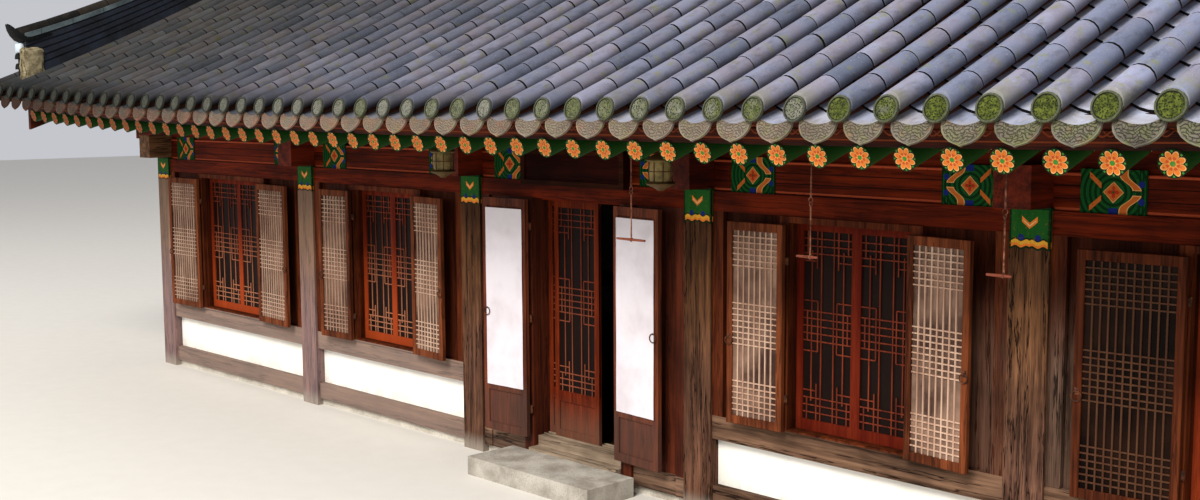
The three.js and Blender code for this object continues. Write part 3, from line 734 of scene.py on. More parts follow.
def floor_finish():
    f = Finish("pale_floor")
    grit = f.noise(6, 3, 0.5)
    return f.wear((f.mix(grit, "d2cec6", "dad6cf"), grit * 0.1 + 0.85, grit), 0.1, 0.002)


# Mesh helpers
def rotation(degrees, axis):
    return Matrix.Rotation(math.radians(degrees), 4, axis)


def whole(bm):
    return bm.verts[:] + bm.edges[:] + bm.faces[:]


def mark(faces, finish):
    for face in faces:
        face.material_index = finish


def block(bm, low, high, edge=0.003, finish=0, place=Matrix()):
    """A squared bar between two corners, with its edges eased."""
    low, high = Vector(low), Vector(high)
    sizes = Matrix.Diagonal((*(high - low), 1))
    spot = place @ Matrix.Translation((low + high) / 2) @ sizes
    verts = bmesh.ops.create_cube(bm, size=1, matrix=spot)["verts"]
    mark({face for vert in verts for face in vert.link_faces}, finish)
    if edge:
        bmesh.ops.bevel(bm, geom=list({e for vert in verts for e in vert.link_edges}),
                        offset=edge, offset_type="OFFSET", affect="EDGES", segments=1,
                        profile=0.5, material=-1)


def rod(bm, start, end, radius, sides=12, finish=0, tip=None, place=Matrix()):
    """A round bar between two points, which may taper."""
    start, end = place @ Vector(start), place @ Vector(end)
    way = end - start
    turn = way.to_track_quat("Z", "Y").to_matrix().to_4x4()
    spot = Matrix.Translation((start + end) / 2) @ turn
    verts = bmesh.ops.create_cone(bm, cap_ends=True, segments=sides, radius1=radius,
                                  radius2=radius if tip is None else tip,
                                  depth=way.length, matrix=spot)["verts"]
    mark({face for vert in verts for face in vert.link_faces}, finish)


def ring(bm, centre, axis, reach, thick, finish=0, place=Matrix()):
    """A round ring about an axis."""
    turn = Vector(axis).to_track_quat("Z", "Y").to_matrix().to_4x4()
    spot = place @ Matrix.Translation(Vector(centre)) @ turn
    made = bmesh.ops.create_circle(
        bm, segments=6, radius=thick,
        matrix=spot @ Matrix.Translation((reach, 0, 0)) @ rotation(90, "X"))
    edges = list({e for vert in made["verts"] for e in vert.link_edges})
    known = set(bm.faces)
    bmesh.ops.spin(bm, geom=made["verts"] + edges, cent=spot.translation,
                   axis=spot.to_3x3() @ Vector((0, 0, 1)), angle=2 * math.pi, steps=16,
                   use_merge=True)
    mark(set(bm.faces) - known, finish)


def turned(bm, profile, centre, steps):
    """A turned shape from its (radius, height) profile."""
    verts = [bm.verts.new((centre[0] + r, centre[1], centre[2] + z)) for r, z in profile]
    edges = [bm.edges.new(pair) for pair in zip(verts, verts[1:])]
    bmesh.ops.spin(bm, geom=verts + edges, cent=centre, axis=(0, 0, 1), angle=2 * math.pi,
                   steps=steps, use_merge=True)
    bmesh.ops.remove_doubles(bm, verts=bm.verts, dist=0.00001)


def pull(bm, faces, way):
    """Extrudes faces by a vector. Gives the faces it moved, and leaves none behind inside."""
    edges = list(dict.fromkeys(edge for face in faces for edge in face.edges))
    pulled = bmesh.ops.extrude_face_region(bm, geom=faces + edges)["geom"]
    verts = [part for part in pulled if isinstance(part, bmesh.types.BMVert)]
    bmesh.ops.translate(bm, vec=way, verts=verts)
    return [part for part in pulled if isinstance(part, bmesh.types.BMFace)]


def sweep(bm, rings, finish=0):
    """Pulls the first ring's face through the other rings, into one closed bar."""
    known = set(bm.faces)
    face = bm.faces.new([bm.verts.new(place) for place in rings[0]])
    for previous, points in zip(rings, rings[1:]):
        face = pull(bm, [face], (0, 0, 0))[0]
        for vert in face.verts:
            nearest = min(range(len(previous)),
                          key=lambda k: (vert.co - Vector(previous[k])).length_squared)
            vert.co = points[nearest]
    mark(set(bm.faces) - known, finish)


def round_face(bm, radius, sides):
    """A disc that faces the front."""
    bmesh.ops.create_circle(bm, cap_ends=True, radius=radius, segments=sides,
                            matrix=rotation(90, "X"))


def upright_grid(bm, size, columns=1, rows=1):
    """A flat grid that faces the front, with its middle at the origin."""
    bmesh.ops.create_grid(bm, x_segments=columns, y_segments=rows, size=0.5,
                          matrix=rotation(90, "X") @ Matrix.Diagonal((*size, 1, 1)))


def template(bm):
    """A small shape that is placed many times, with its own tone on every copy."""
    bmesh.ops.recalc_face_normals(bm, faces=bm.faces)
    layer = bm.loops.layers.uv.new("face")
    for face in bm.faces:
        for loop in face.loops:
            loop[layer].uv = (loop.vert.co.x, loop.vert.co.z)
    mesh = bpy.data.meshes.new("template")
    bm.to_mesh(mesh)
    bm.free()
    mesh.attributes.new("tone", "FLOAT", "POINT")
    return mesh


def gather(copies):
    """Joins placed copies (shape, place, tone) into one mesh, a batch at a time."""
    bm = bmesh.new()
    if len(copies) > BATCH:
        parts = [gather(copies[k:k + BATCH]) for k in range(0, len(copies), BATCH)]
        for part in parts:
            bm.from_mesh(part)
            bpy.data.meshes.remove(part)
    else:
        for shape, place, tone in copies:
            copy = shape.copy()
            copy.transform(place)
            if place.determinant() < 0:
                copy.flip_normals()
            copy.attributes["tone"].data.foreach_set("value", [tone] * len(copy.vertices))
            bm.from_mesh(copy)
            bpy.data.meshes.remove(copy)
    mesh = bpy.data.meshes.new("gathered")
    bm.to_mesh(mesh)
    bm.free()
    return mesh


def show(name, mesh, finishes, body="house", smooth=None, replaces=()):
    """Puts a finished mesh in the scene, riding on its body."""
    if isinstance(mesh, bmesh.types.BMesh):
        bm = mesh
        bmesh.ops.recalc_face_normals(bm, faces=bm.faces)
        if bm.calc_volume(signed=True) < 0:
            bmesh.ops.reverse_faces(bm, faces=bm.faces)
        mesh = bpy.data.meshes.new(name)
        bm.to_mesh(mesh)
        bm.free()
    piece = bpy.data.objects.new(name, mesh)
    mesh.name = name
    bpy.context.scene.collection.objects.link(piece)
    for finish in finishes:
        mesh.materials.append(finish)
    if smooth:
        mesh.polygons.foreach_set("use_smooth", [True] * len(mesh.polygons))
        mesh.set_sharp_from_angle(angle=math.radians(smooth))
    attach(piece, body)
    if replaces:
        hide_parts(*replaces)
    return piece


# Finishes that several pieces share
IRON = iron_finish("rusty_iron")
ROD_IRON = iron_finish("pale_rusty_rod", "4a2c20", "a06a52")
# Painted shade: the cover tiles darken low on their sides, the valley tiles towards their edges under
# the covers.
COVER = tile_finish("grey_cover_tile", "5e667c", "999fbb", "7c8038",
                    lambda across, up: up.fade(-0.012, 0.05))
VALLEY = tile_finish("pale_valley_tile", "959cb4", "c2c8da", "a59d88",
                     lambda across, up: abs(across).soft(0.05, 0.13))
CAP = tile_finish("dark_cap_tile", "1c1e20", "35362f", "4a4430")
HORN = tile_finish("dark_blue_tile", "121824", "28303f", "2f312c")
JOINT = joint_finish()
EARTH = earth_finish()
DISC = disc_finish()
PENDANT = pendant_finish()
BED = plain_timber("roof_boards", "35150c", "6b3420", "X", cracks=0.4)
RIDGE = ridge_finish()
PALE = pale_course_finish()
END_BLOCK = block_finish()
LIME = lime_in_painted_shade()
RAFTER = rafter_finish()
FLOWER = flower_finish()
EAVE_BOARD = eave_board_finish()
BEAM_WOOD = plain_timber("beam_wood", *RED_BROWN, "Y", cracks=0.5)
FRAME_WOOD = frame_finish()
BAR_WOOD = lattice_finish()
FRET_WOOD = fret_finish()
PANE = pane_finish()
BANNER = banner_finish()
LANTERN = lantern_finish()
HOOK_BAR = plain_timber("hook_bar", "6b2f20", "b06a50", "X", fine=2.0)


# Roof tiles
def slope_steps():
    """Distance up the slope against distance in from the eave."""
    table = [(0.0, 0.0)]
    while table[-1][1] < EAVE_Y:
        length, inward = table[-1]
        table.append((length + 0.01 * math.hypot(1, roof_pitch(inward)), inward + 0.01))
    return table


STEPS = slope_steps()


def on_slope(x, distance, height):
    """A place on the front slope: X along the house, Y up the slope and Z out of it."""
    length, inward = next((step for step in STEPS if step[0] >= distance), STEPS[-1])
    inward -= (length - distance) / math.hypot(1, roof_pitch(inward))
    along = Vector((1, 0, rise_slope(x))).normalized()
    up = Vector((0, 1, roof_pitch(inward))).normalized()
    out = along.cross(up).normalized()
    spot = Vector((x, -EAVE_Y + inward, roof_top(x, EAVE_Y - inward))) + out * height
    turn = Matrix((along, up, out)).transposed().to_4x4()
    return Matrix.Translation(spot) @ turn


def cover_tile(leans=0.0):
    """A half-round cover tile and the narrow neck that the next one laps over."""
    bm = bmesh.new()
    round_face(bm, COVER_RADIUS, 16)
    bmesh.ops.bisect_plane(bm, geom=whole(bm), plane_co=(0, 0, -0.012), plane_no=(0, 0, -1),
                           clear_outer=True)
    for vert in bm.verts:
        vert.co.y += vert.co.z * leans
    end = bm.faces[:]
    for growth, length in ((1.03, 0.004), (1.0, 0.2985), (0.88, 0.0005), (1.0, 0.018)):
        end = pull(bm, end, (0, length, 0))
        bmesh.ops.scale(bm, vec=(growth, 1, growth), verts=end[0].verts[:])
    for vert in bm.verts:
        if leans and vert.co.y > 0.2:
            vert.co.y -= vert.co.z * leans
    # The lower end face and the neck take the dark joint finish, partly painted shade.
    mark([face for face in bm.faces if not 0.0005 < face.calc_center_median().y < 0.3], 1)
    return template(bm)


def valley_tile():
    """A concave tile: pale on top, dark at its lower lip, partly with painted shade, and earthy at its
    rims.
    """
    bm = bmesh.new()
    half = math.radians(51)
    ends = [(-(VALLEY_RADIUS + t) * math.sin(half), 0,
             VALLEY_RADIUS - (VALLEY_RADIUS + t) * math.cos(half)) for t in (0.0, 0.022)]
    verts = [bm.verts.new(place) for place in ends]
    edge = bm.edges.new(verts)
    bmesh.ops.spin(bm, geom=verts + [edge], cent=(0, 0, VALLEY_RADIUS), axis=(0, -1, 0),
                   angle=2 * half, steps=8)
    lip = set(bm.faces)
    pull(bm, bm.faces[:], (0, 0.2, -0.019))
    for face in bm.faces:
        spot = face.calc_center_median()
        if face in lip or spot.y < 0.001:
            face.material_index = 1
        elif abs(spot.x) > 0.1:
            face.material_index = 2
    return template(bm)


def end_disc():
    """The round plate that closes the lowest cover tile."""
    bm = bmesh.new()
    round_face(bm, COVER_RADIUS, 18)
    front = pull(bm, bm.faces[:], (0, -0.018, 0))
    for width, depth in ((0.004, 0.0015), (0.006, 0.0), (0.002, -0.005)):
        bmesh.ops.inset_region(bm, faces=front, thickness=width, depth=depth)
    return template(bm)


def pendant_tile():
    """A leaf-shaped plate that hangs from the lowest concave tile."""
    bm = bmesh.new()
    top = [(0.027 * k, VALLEY_RADIUS - math.sqrt(VALLEY_RADIUS ** 2 - (0.027 * k) ** 2))
           for k in range(-4, 5)]
    low = [(0.113, 0.016), (0.112, -0.008), (0.104, -0.034), (0.086, -0.058), (0.058, -0.078),
           (0.028, -0.089), (0.012, -0.093), (0, -0.1)]
    low += [(-u, v) for u, v in reversed(low[:-1])]
    face = bm.faces.new([bm.verts.new((u, 0, v)) for u, v in top + low])
    front = pull(bm, [face], (0, -0.015, 0))
    for width, depth in ((0.007, 0.0), (0.002, -0.004)):
        bmesh.ops.inset_region(bm, faces=front, thickness=width, depth=depth)
    return template(bm)


def tone():
    return min(1.0, max(0.0, CHANCE.gauss(0.5, 0.2)))


def sway(amount):
    """A small turn, because no tile lies quite true."""
    return (Matrix.Translation((CHANCE.uniform(-1, 1) * amount, 0, 0))
            @ rotation(CHANCE.uniform(-1, 1) * 0.7, "Z"))


SLOPES = {"front": Matrix(), "rear": Matrix.Diagonal((1, -1, 1, 1))}
cover, valley, disc, pendant = cover_tile(), valley_tile(), end_disc(), pendant_tile()
eave_cover = cover_tile(0.68)
covers, valleys, discs, pendants = [], [], [], []
for k in range(-28, 29):
    x = ROW_SHIFT + k * ROW
    first = CHANCE.uniform(0.93, 1.05)
    covers.append((eave_cover, on_slope(x, 0.02, COVER_SEAT) @ Matrix.Diagonal((1, first, 1, 1))))
    for n in range(1, COVERS_UP):
        distance = 0.02 + (n - 1 + first) * COVER_PITCH + CHANCE.uniform(-0.003, 0.003)
        covers.append((cover, on_slope(x, distance, COVER_SEAT) @ sway(0.0025)))
    spot = Matrix.Translation((x, -3.812, roof_top(x, EAVE_Y) - 0.032))
    discs.append((disc, spot @ rotation(-13, "X")))
    middle = x - ROW / 2
    narrow = Matrix()
    if k == -28:
        middle, narrow = -7.632, Matrix.Diagonal((0.42, 1, 1, 1))
    for n in range(VALLEYS_UP):
        place = on_slope(middle, 0.005 + n * VALLEY_PITCH, VALLEY_SEAT)
        valleys.append((valley, place @ narrow))
    if k > -28:
        spot = Matrix.Translation((middle, -3.801, roof_top(middle, EAVE_Y) - 0.11))
        pendants.append((pendant, spot @ rotation(-17 + CHANCE.uniform(-2, 2), "X")))

TILE_PIECES = {
    "cover_tiles": (covers, [COVER, JOINT], 25),
    "valley_tiles": (valleys, [VALLEY, JOINT, EARTH], 40),
    "end_discs": (discs, [DISC], 40),
    "pendant_tiles": (pendants, [PENDANT], 40)}
for name, turn in SLOPES.items():
    for kind, (copies, finishes, angle) in TILE_PIECES.items():
        mesh = gather([(shape, turn @ place, tone()) for shape, place in copies])
        stands_for = [f"{name}_roof"] if kind == "cover_tiles" else []
        show(f"{name}_{kind}", mesh, finishes, smooth=angle, replaces=stands_for)


def roof_bed(name, reach, stands_for):
    """The boards and earth under the tiles: the CAD slope, lowered and drawn back at the eave."""
    bm = bmesh.new()
    bm.from_mesh(NODES[name].data)
    bmesh.ops.remove_doubles(bm, verts=bm.verts, dist=0.0002)
    for vert in bm.verts:
        depth = roof_top(vert.co.x, vert.co.y) - vert.co.z
        if depth < 0.01:
            vert.co.z -= 0.15
        elif depth < 0.15 and abs(vert.co.x) > 7.0603:
            vert.co.z -= 0.03
    for side in (-1, 1):
        cut = bmesh.ops.bisect_plane(bm, geom=whole(bm), plane_co=(0, side * reach, 0),
                                     plane_no=(0, side, 0), clear_outer=True)["geom_cut"]
        edges = [part for part in cut if isinstance(part, bmesh.types.BMEdge)]
        if edges:
            bmesh.ops.holes_fill(bm, edges=edges, sides=0)
    show(f"{name}_bed", bm, [BED], replaces=stands_for)


roof_bed("front_roof", 3.55, [])
roof_bed("rear_roof", 3.55, [])
roof_bed("left_verge", 3.77, ["left_verge"])
roof_bed("right_verge", 3.77, ["right_verge"])


# Ridges
def course_levels(count, thick, start):
    """Stacked flat tiles, each under a recessed joint."""
    levels = []
    for k in range(count):
        low = start + k * thick
        levels.append((low, low + thick * 0.72, 0.93))
        levels.append((low + thick * 0.72, low + thick, 0.8))
    return levels


def course_outline(half, levels):
    """The stepped outline of stacked ridge tiles, right side up and left side down."""
    right = [(reach * half, h) for low, high, reach in levels for h in (low, high)]
    return right + [(-u, h) for u, h in reversed(right)]


def stacked_courses(name, stations, half, courses, axis, middle, foot, stretch):
    """The body of a ridge along X (axis 0) or Y (axis 1). Its points keep their distance along
    the ridge and their height above the tiles."""
    bm = bmesh.new()
    for finish, levels in courses:
        rings = []
        for s in stations:
            outline = [(u, foot(s) + h * stretch(s)) for u, h in course_outline(half, levels)]
            rings.append([(middle + u, s, z) if axis else (s, middle + u, z) for u, z in outline])
        sweep(bm, rings, finish)
    run = bm.verts.layers.float.new("run")
    up = bm.verts.layers.float.new("up")
    for vert in bm.verts:
        s = vert.co[axis]
        vert[run] = s
        vert[up] = (vert.co.z - foot(s)) / stretch(s)
    show(f"{name}_courses", bm, [RIDGE, PALE], replaces=[name])


def cap_row(name, places):
    """Half-round tiles along a ridge; each pair of points is one tile."""
    caps = []
    for start, end in places:
        way = (end - start).normalized()
        across = way.cross(Vector((0, 0, 1))).normalized()
        turn = Matrix((across, way, across.cross(way))).transposed().to_4x4()
        fitted = Matrix.Diagonal((1.1, (end - start).length / COVER_PITCH, 1.1, 1))
        caps.append((cover, Matrix.Translation(start) @ turn @ fitted, tone()))
    show(f"{name}_caps", gather(caps), [CAP, JOINT], smooth=25)


def main_ridge():
    """Stacked flat tiles on a bed of plaster, under a row of half-round caps."""
    def stretch(x):
        return 1 + 0.7 * end_rise(x)

    def foot(x):
        return roof_top(x, 0.15)

    courses = ((0, [(-0.13, 0.012, 0.97)]), (0, course_levels(6, 0.055, 0.012)),
               (1, [(0.342, 0.39, 0.97)]))
    stations = [-7.168 + k * 14.336 / 60 for k in range(61)]
    stacked_courses("main_ridge", stations, 0.15, courses, 0, 0, foot, stretch)
    xs = [-7.15 + k * 14.3 / 45 for k in range(46)]
    line = [Vector((x, 0, foot(x) + 0.395 * stretch(x))) for x in xs]
    cap_row("main_ridge", list(zip(line, line[1:])))


def verge_ridge(name, side):
    """A descending ridge that swells towards its foot and ends in a pointed tile."""
    middle = side * RIDGE_X

    def stretch(y):
        return 1 + 0.24 * max(0.0, (abs(y) - 1.8) / 1.8) ** 2

    def foot(y):
        return roof_top(middle, y)

    courses = ((0, [(-0.11, 0.015, 0.94)]), (0, course_levels(5, 0.061, 0.015)),
               (1, [(0.318, 0.362, 0.99)]))
    stations = [-3.56 + k * 7.12 / 80 for k in range(81)]
    stacked_courses(name, stations, 0.11, courses, 1, middle, foot, stretch)
    ys = [3.595 - k * 3.56 / 11 for k in range(12)]
    tiles = []
    for end in (-1, 1):
        line = [Vector((middle, end * y, foot(y) + 0.353 * stretch(y))) for y in ys]
        tiles += zip(line, line[1:])
    cap_row(name, tiles)
    for tag, turn in SLOPES.items():
        ridge_foot(f"{name}_{tag}", middle, -side, turn)


def ridge_foot(name, middle, inward, turn):
    """What closes the foot of a descending ridge: pointed tile, plaster, tile ends, rough block."""
    def spot(u, y, h):
        return turn @ Vector((middle + inward * u, -y, roof_top(middle, y) + h))

    def rough(parts):
        return [part for part in parts if any(face.material_index == 0 for face in part.link_faces)]

    stations = [(3.3, 0.335, 0.36, 0.12), (3.45, 0.335, 0.372, 0.122), (3.545, 0.338, 0.40, 0.12),
                (3.6, 0.366, 0.45, 0.108), (3.65, 0.43, 0.52, 0.088), (3.69, 0.505, 0.575, 0.06),
                (3.713, 0.574, 0.6, 0.03)]
    rings = []
    for y, low, high, half in stations:
        dip = 0.25 * (high - low)
        rings.append([spot(u, y, h) for u, h in (
            (-half, low + dip), (0, low), (half, low + dip), (half, high), (0, high - dip),
            (-half, high))])
    bm = bmesh.new()
    sweep(bm, rings)
    show(f"{name}_point", bm, [HORN], smooth=35)

    bm = bmesh.new()
    ground = roof_top(middle, 3.5)
    lumps = (((-0.1, 0.035), (3.545, 3.6), (0.25, 0.352), 0.012, 1),
             ((-0.1, 0.1), (3.54, 3.575), (-0.1, 0.3), 0.01, 2),
             ((0.022, 0.13), (3.38, 3.612), (-0.06, 0.3), 0.03, 0))
    for us, ys, hs, edge, finish in lumps:
        low = [min(inward * u for u in us), -ys[1], hs[0]]
        high = [max(inward * u for u in us), -ys[0], hs[1]]
        block(bm, low, high, edge, finish, turn @ Matrix.Translation((middle, 0, ground - 0.03)))
    bmesh.ops.subdivide_edges(bm, edges=rough(bm.edges), cuts=3, use_grid_fill=True)
    for vert in rough(bm.verts):
        swell = math.sin(vert.co.z * 31) * 0.013
        vert.co += Vector((CHANCE.uniform(-0.012, 0.012) + swell * inward,
                           CHANCE.uniform(-0.012, 0.01), CHANCE.uniform(-0.012, 0.012)))
    for h in (0.06, 0.165):
        tile = cover.copy()
        place = Matrix.Translation((middle - inward * 0.05, -3.605, ground + h))
        tile.transform(turn @ place @ Matrix.Diagonal((0.7, 0.5, 0.75, 1)))
        tile.attributes.remove(tile.attributes["tone"])
        tile.polygons.foreach_set("material_index", [2] * len(tile.polygons))
        bm.from_mesh(tile)
        bpy.data.meshes.remove(tile)
    show(f"{name}_end_block", bm, [END_BLOCK, LIME, HORN], smooth=50)


main_ridge()
verge_ridge("left_verge_ridge", -1)
verge_ridge("right_verge_ridge", 1)


# Eaves
def flower_disc():
    bm = bmesh.new()
    round_face(bm, 0.0655, 20)
    pull(bm, bm.faces[:], (0, -0.004, 0))
    return template(bm)


def eaves(name, turn):
    """Round rafters with a flower on each end, and the board that their tips carry."""
    bm = bmesh.new()
    flowers = []
    flower = flower_disc()
    for k in range(-27, 27):
        x = (k + 0.5) * RAFTER_GAP
        tip, end = [Vector((x, -y, rafter_axis(x, y))) for y in (RAFTER_TIP, RAFTER_TOP)]
        rod(bm, turn @ tip, turn @ end, 0.0645, 16)
        slope = math.degrees(math.atan2(end.z - tip.z, end.y - tip.y))
        flowers.append((flower, turn @ Matrix.Translation(tip) @ rotation(slope, "X"), 0.5))
    show(f"{name}_round_rafters", bm, [RAFTER], smooth=50,
         replaces=[f"{name}_rafters"])
    show(f"{name}_rafter_flowers", gather(flowers), [FLOWER], smooth=50)

    bm = bmesh.new()
    lower, upper = [], []
    for k in range(61):
        x = -7.0 + k * 14.0 / 60
        foot = rafter_axis(x, 3.6) + 0.047
        top = roof_top(x, 3.62) - 0.152
        for rings, places in (
                (lower, ((-3.627, foot), (-3.627, foot + 0.085), (-3.56, foot + 0.085), (-3.56, foot))),
                (upper, ((-3.612, foot + 0.08), (-3.66, top), (-3.58, top), (-3.57, foot + 0.08)))):
            rings.append([turn @ Vector((x, *place)) for place in places])
    sweep(bm, lower)
    sweep(bm, upper)
    up = bm.verts.layers.float.new("up")
    for vert in bm.verts:
        vert[up] = vert.co.z - rafter_axis(vert.co.x, 3.6) - 0.047
    show(f"{name}_eave_board", bm, [EAVE_BOARD])


for name, turn in SLOPES.items():
    eaves(name, turn)


def end_panels():
    """Painted end panels on the members beside the posts."""
    bm = bmesh.new()
    upright_grid(bm, (0.36, 0.235))
    pull(bm, bm.faces[:], (0, -0.006, 0))
    panel = template(bm)
    places = []
    for left, right in zip(POSTS, POSTS[1:]):
        for x, way in ((left + 0.445, 1), (right - 0.39, -1)):
            spot = Matrix.Translation((x, FRONT + 0.0405, 2.3035))
            places.append((panel, spot @ Matrix.Diagonal((way, 1, 1, 1)), 0.5))
    show("painted_end_panels", gather(places), [panel_finish()])


end_panels()


# Shutters and frets
def spread(side, a, b):
    return sorted((side * a, side * b))


def lattice_leaf(bm, place, side, near, far, low, high, front, back):
    """A lattice leaf: a frame, close upright bars and three groups of cross bars."""
    def bar(a, b, y0, y1, z0, z1, edge, finish):
        u0, u1 = spread(side, a, b)
        block(bm, (u0, y0, z0), (u1, y1, z1), edge, finish, place)

    stile, rail, gap = 0.045, 0.055, 0.038
    a, b, z0, z1 = near + stile, far - stile, low + rail, high - rail
    bar(near, a, front, back, low, high, 0.003, 0)
    bar(b, far, front, back, low, high, 0.003, 0)
    bar(a, b, front + 0.001, back - 0.001, low, z0, 0.003, 0)
    bar(a, b, front + 0.001, back - 0.001, z1, high, 0.003, 0)
    middle = (front + back) / 2
    bar(a - 0.005, b + 0.005, middle - 0.004, middle + 0.004, z0 - 0.005, z1 + 0.005, 0, 2)
    cells = round((b - a) / 0.044)
    for k in range(1, cells):
        u = a + (b - a) * k / cells
        bar(u - 0.005, u + 0.005, front + 0.004, back - 0.004, z0, z1, 0.0015, 1)
    centre = (z0 + z1) / 2
    levels = ([z1 - gap * k for k in range(1, 7)] + [z0 + gap * k for k in range(1, 7)]
              + [centre + gap * (k - 3.5) for k in range(8)])
    for z in levels:
        bar(a, b, front + 0.005, back - 0.005, z - 0.0045, z + 0.0045, 0.0015, 1)


def shutter(number, name, side, turn_deg):
    """A shutter on two pin hinges, with a ring handle near its free edge."""
    middle, half = WINDOWS[number]
    hinge = Matrix.Translation((middle + side * half, FRONT - 0.0045, 0))
    place = hinge @ rotation(-side * turn_deg, "Z")
    bm = bmesh.new()
    far = 0.006 + half - 0.008
    lattice_leaf(bm, place, side, 0.006, far, SILL, SHUTTER_TOP, -0.045, -0.01)
    for z in (0.9, 1.78):
        rod(bm, (0, 0, z - 0.025), (0, 0, z + 0.025), 0.009, 10, 3, place=place)
        u0, u1 = spread(side, -0.004, 0.06)
        block(bm, (u0, -0.012, z - 0.02), (u1, -0.007, z + 0.02), 0.001, 3, place)
    grip = side * (far - 0.022)
    ring(bm, (grip, -0.051, 1.235), (0, 1, 0), 0.027, 0.004, 3, place)
    rod(bm, (grip, -0.044, 1.262), (grip, -0.057, 1.262), 0.006, 8, 3, place=place)
    block(bm, (grip - 0.014, -0.0475, 1.243), (grip + 0.014, -0.044, 1.281), 0.001, 3, place)
    show(f"shutter_{number}_{name}_lattice", bm, [FRAME_WOOD, BAR_WOOD, PANE, IRON],
         replaces=[f"shutter_{number}_{name}"])


def fret(bm, x0, x1, z0, z1, front, back):
    """Fret bars: three knots of crossing bars round a clear strip of glass."""
    middle, width = (x0 + x1) / 2, x1 - x0
    centre, gap, bar = (z0 + z1) / 2, 0.047, 0.009

    def upright(x, a, b):
        low, high = sorted((a, b))
        block(bm, (x - bar / 2, front, low), (x + bar / 2, back, high), 0.0015)

    def cross(a, b, z):
        left, right = sorted((a, b))
        block(bm, (left, front + 0.001, z - bar / 2), (right, back - 0.001, z + bar / 2), 0.0015)

    for side in (-1, 1):
        upright(middle + side * width * 0.13, z0, z1)
        upright(middle + side * width * 0.33, z0 + 0.12, z1 - 0.12)
    for z, way in ((z0, 1), (z1, -1)):
        for k in (1, 2, 3):
            cross(x0, x1, z + way * gap * k)
        for side in (-1, 1):
            upright(middle + side * width * 0.42, z, z + way * gap * 3)
            cross(middle + side * width / 2, middle + side * width * 0.22, z + way * gap * 4)
            upright(middle + side * width * 0.22, z, z + way * gap * 5)
    for k in (-2, -1, 0, 1, 2):
        cross(x0, x1, centre + gap * k)
    for side in (-1, 1):
        for k in (-3.4, 3.4):
            cross(middle + side * width / 2, middle + side * width * 0.2, centre + gap * k)
            upright(middle + side * width * 0.2, centre, centre + gap * k)
        upright(middle + side * width * 0.42, centre - gap * 2, centre + gap * 2)


for number, (middle, half) in WINDOWS.items():
    for name, side, turn_deg in zip(("left", "right"), (-1, 1), SHUTTER_TURN[number]):
        shutter(number, name, side, turn_deg)
    bm = bmesh.new()
    for side in (-1, 1):
        a, b = spread(side, 0.035, half - 0.05)
        for depth in (0.1025, 0.1285):
            fret(bm, middle + a, middle + b, 0.77, 1.97, FRONT + depth, FRONT + depth + 0.009)
    show(f"window_fret_{number}", bm, [FRET_WOOD])

bm = bmesh.new()
for left, right in zip(POSTS, POSTS[1:]):
    place = Matrix.Translation(((left + right) / 2, 0, 0))
    for side in (-1, 1):
        lattice_leaf(bm, place, side, 0.003, 0.447, 0.703, 2.017, 2.402, 2.436)
show("rear_window_lattices", bm, [FRAME_WOOD, BAR_WOOD, PANE])


# Door
def banner(name, side):
    """A plain hung banner over the upper part of an outer leaf."""
    place = (Matrix.Translation((side * LEAF_HINGE[0], LEAF_HINGE[1], 0))
             @ rotation(side * LEAF_OPEN, "Z"))
    bm = bmesh.new()
    upright_grid(bm, BANNER_SIZE, 14, 40)
    for vert in bm.verts:
        x, z = vert.co.x, vert.co.z
        fall = 0.5 - z / BANNER_SIZE[1]
        vert.co.y = 0.0575 + 0.0012 * math.sin(x * 34 + side) * fall + 0.0008 * math.sin(z * 9)
        vert.co.x = -side * (0.2325 + x)
        vert.co.z = 1.288 + z
    bmesh.ops.transform(bm, matrix=place, verts=bm.verts)
    cloth = show(f"banner_{name}", bm, [BANNER], body=f"outer_leaf_{name}", smooth=60)


banner("left", -1)
banner("right", 1)
for name, x, y in (("front", -0.35, 0.123), ("rear", -0.465, 0.167)):
    bm = bmesh.new()
    for depth in (0.0015, 0.0195):
        front = FRONT + y + depth
        fret(bm, x + 0.045, x + 0.43, 0.6, 1.992, front, front + 0.007)
    show(f"inner_door_fret_{name}", bm, [FRET_WOOD], body=f"inner_leaf_{name}")


# Lanterns and hooks
def rod_top(x, y):
    return rafter_axis(x, y) - 0.066


def lantern(name, x):
    """A round lantern in a cage of eight thin bars, on a rod from the rafters."""
    y = FRONT - 0.48
    bm = bmesh.new()
    profile = [(0.0, 0.0), (0.02, 0.002), (0.03, 0.012), (0.055, 0.026), (0.09, 0.04), (0.096, 0.048),
               (0.088, 0.056), (0.07, 0.062), (0.074, 0.09), (0.076, 0.125), (0.074, 0.16),
               (0.07, 0.183), (0.09, 0.19), (0.098, 0.197), (0.092, 0.206), (0.06, 0.224),
               (0.03, 0.238), (0.016, 0.252), (0.0, 0.256)]
    turned(bm, profile, (x, y, 2.215), 24)
    for k in range(8):
        angle = math.radians(45 * k + 10)
        spot = (x + 0.076 * math.cos(angle), y + 0.076 * math.sin(angle))
        rod(bm, (*spot, 2.275), (*spot, 2.405), 0.0035, 6, 1)
    ring(bm, (x, y, 2.34), (0, 0, 1), 0.0765, 0.003, 1)
    rod(bm, (x, y, 2.46), (x, y, rod_top(x, y)), 0.004, 8, 1)
    ring(bm, (x, y, 2.484), (0, 1, 0), 0.014, 0.003, 1)
    show(f"{name}_detailed", bm, [LANTERN, IRON], smooth=40, replaces=[name])


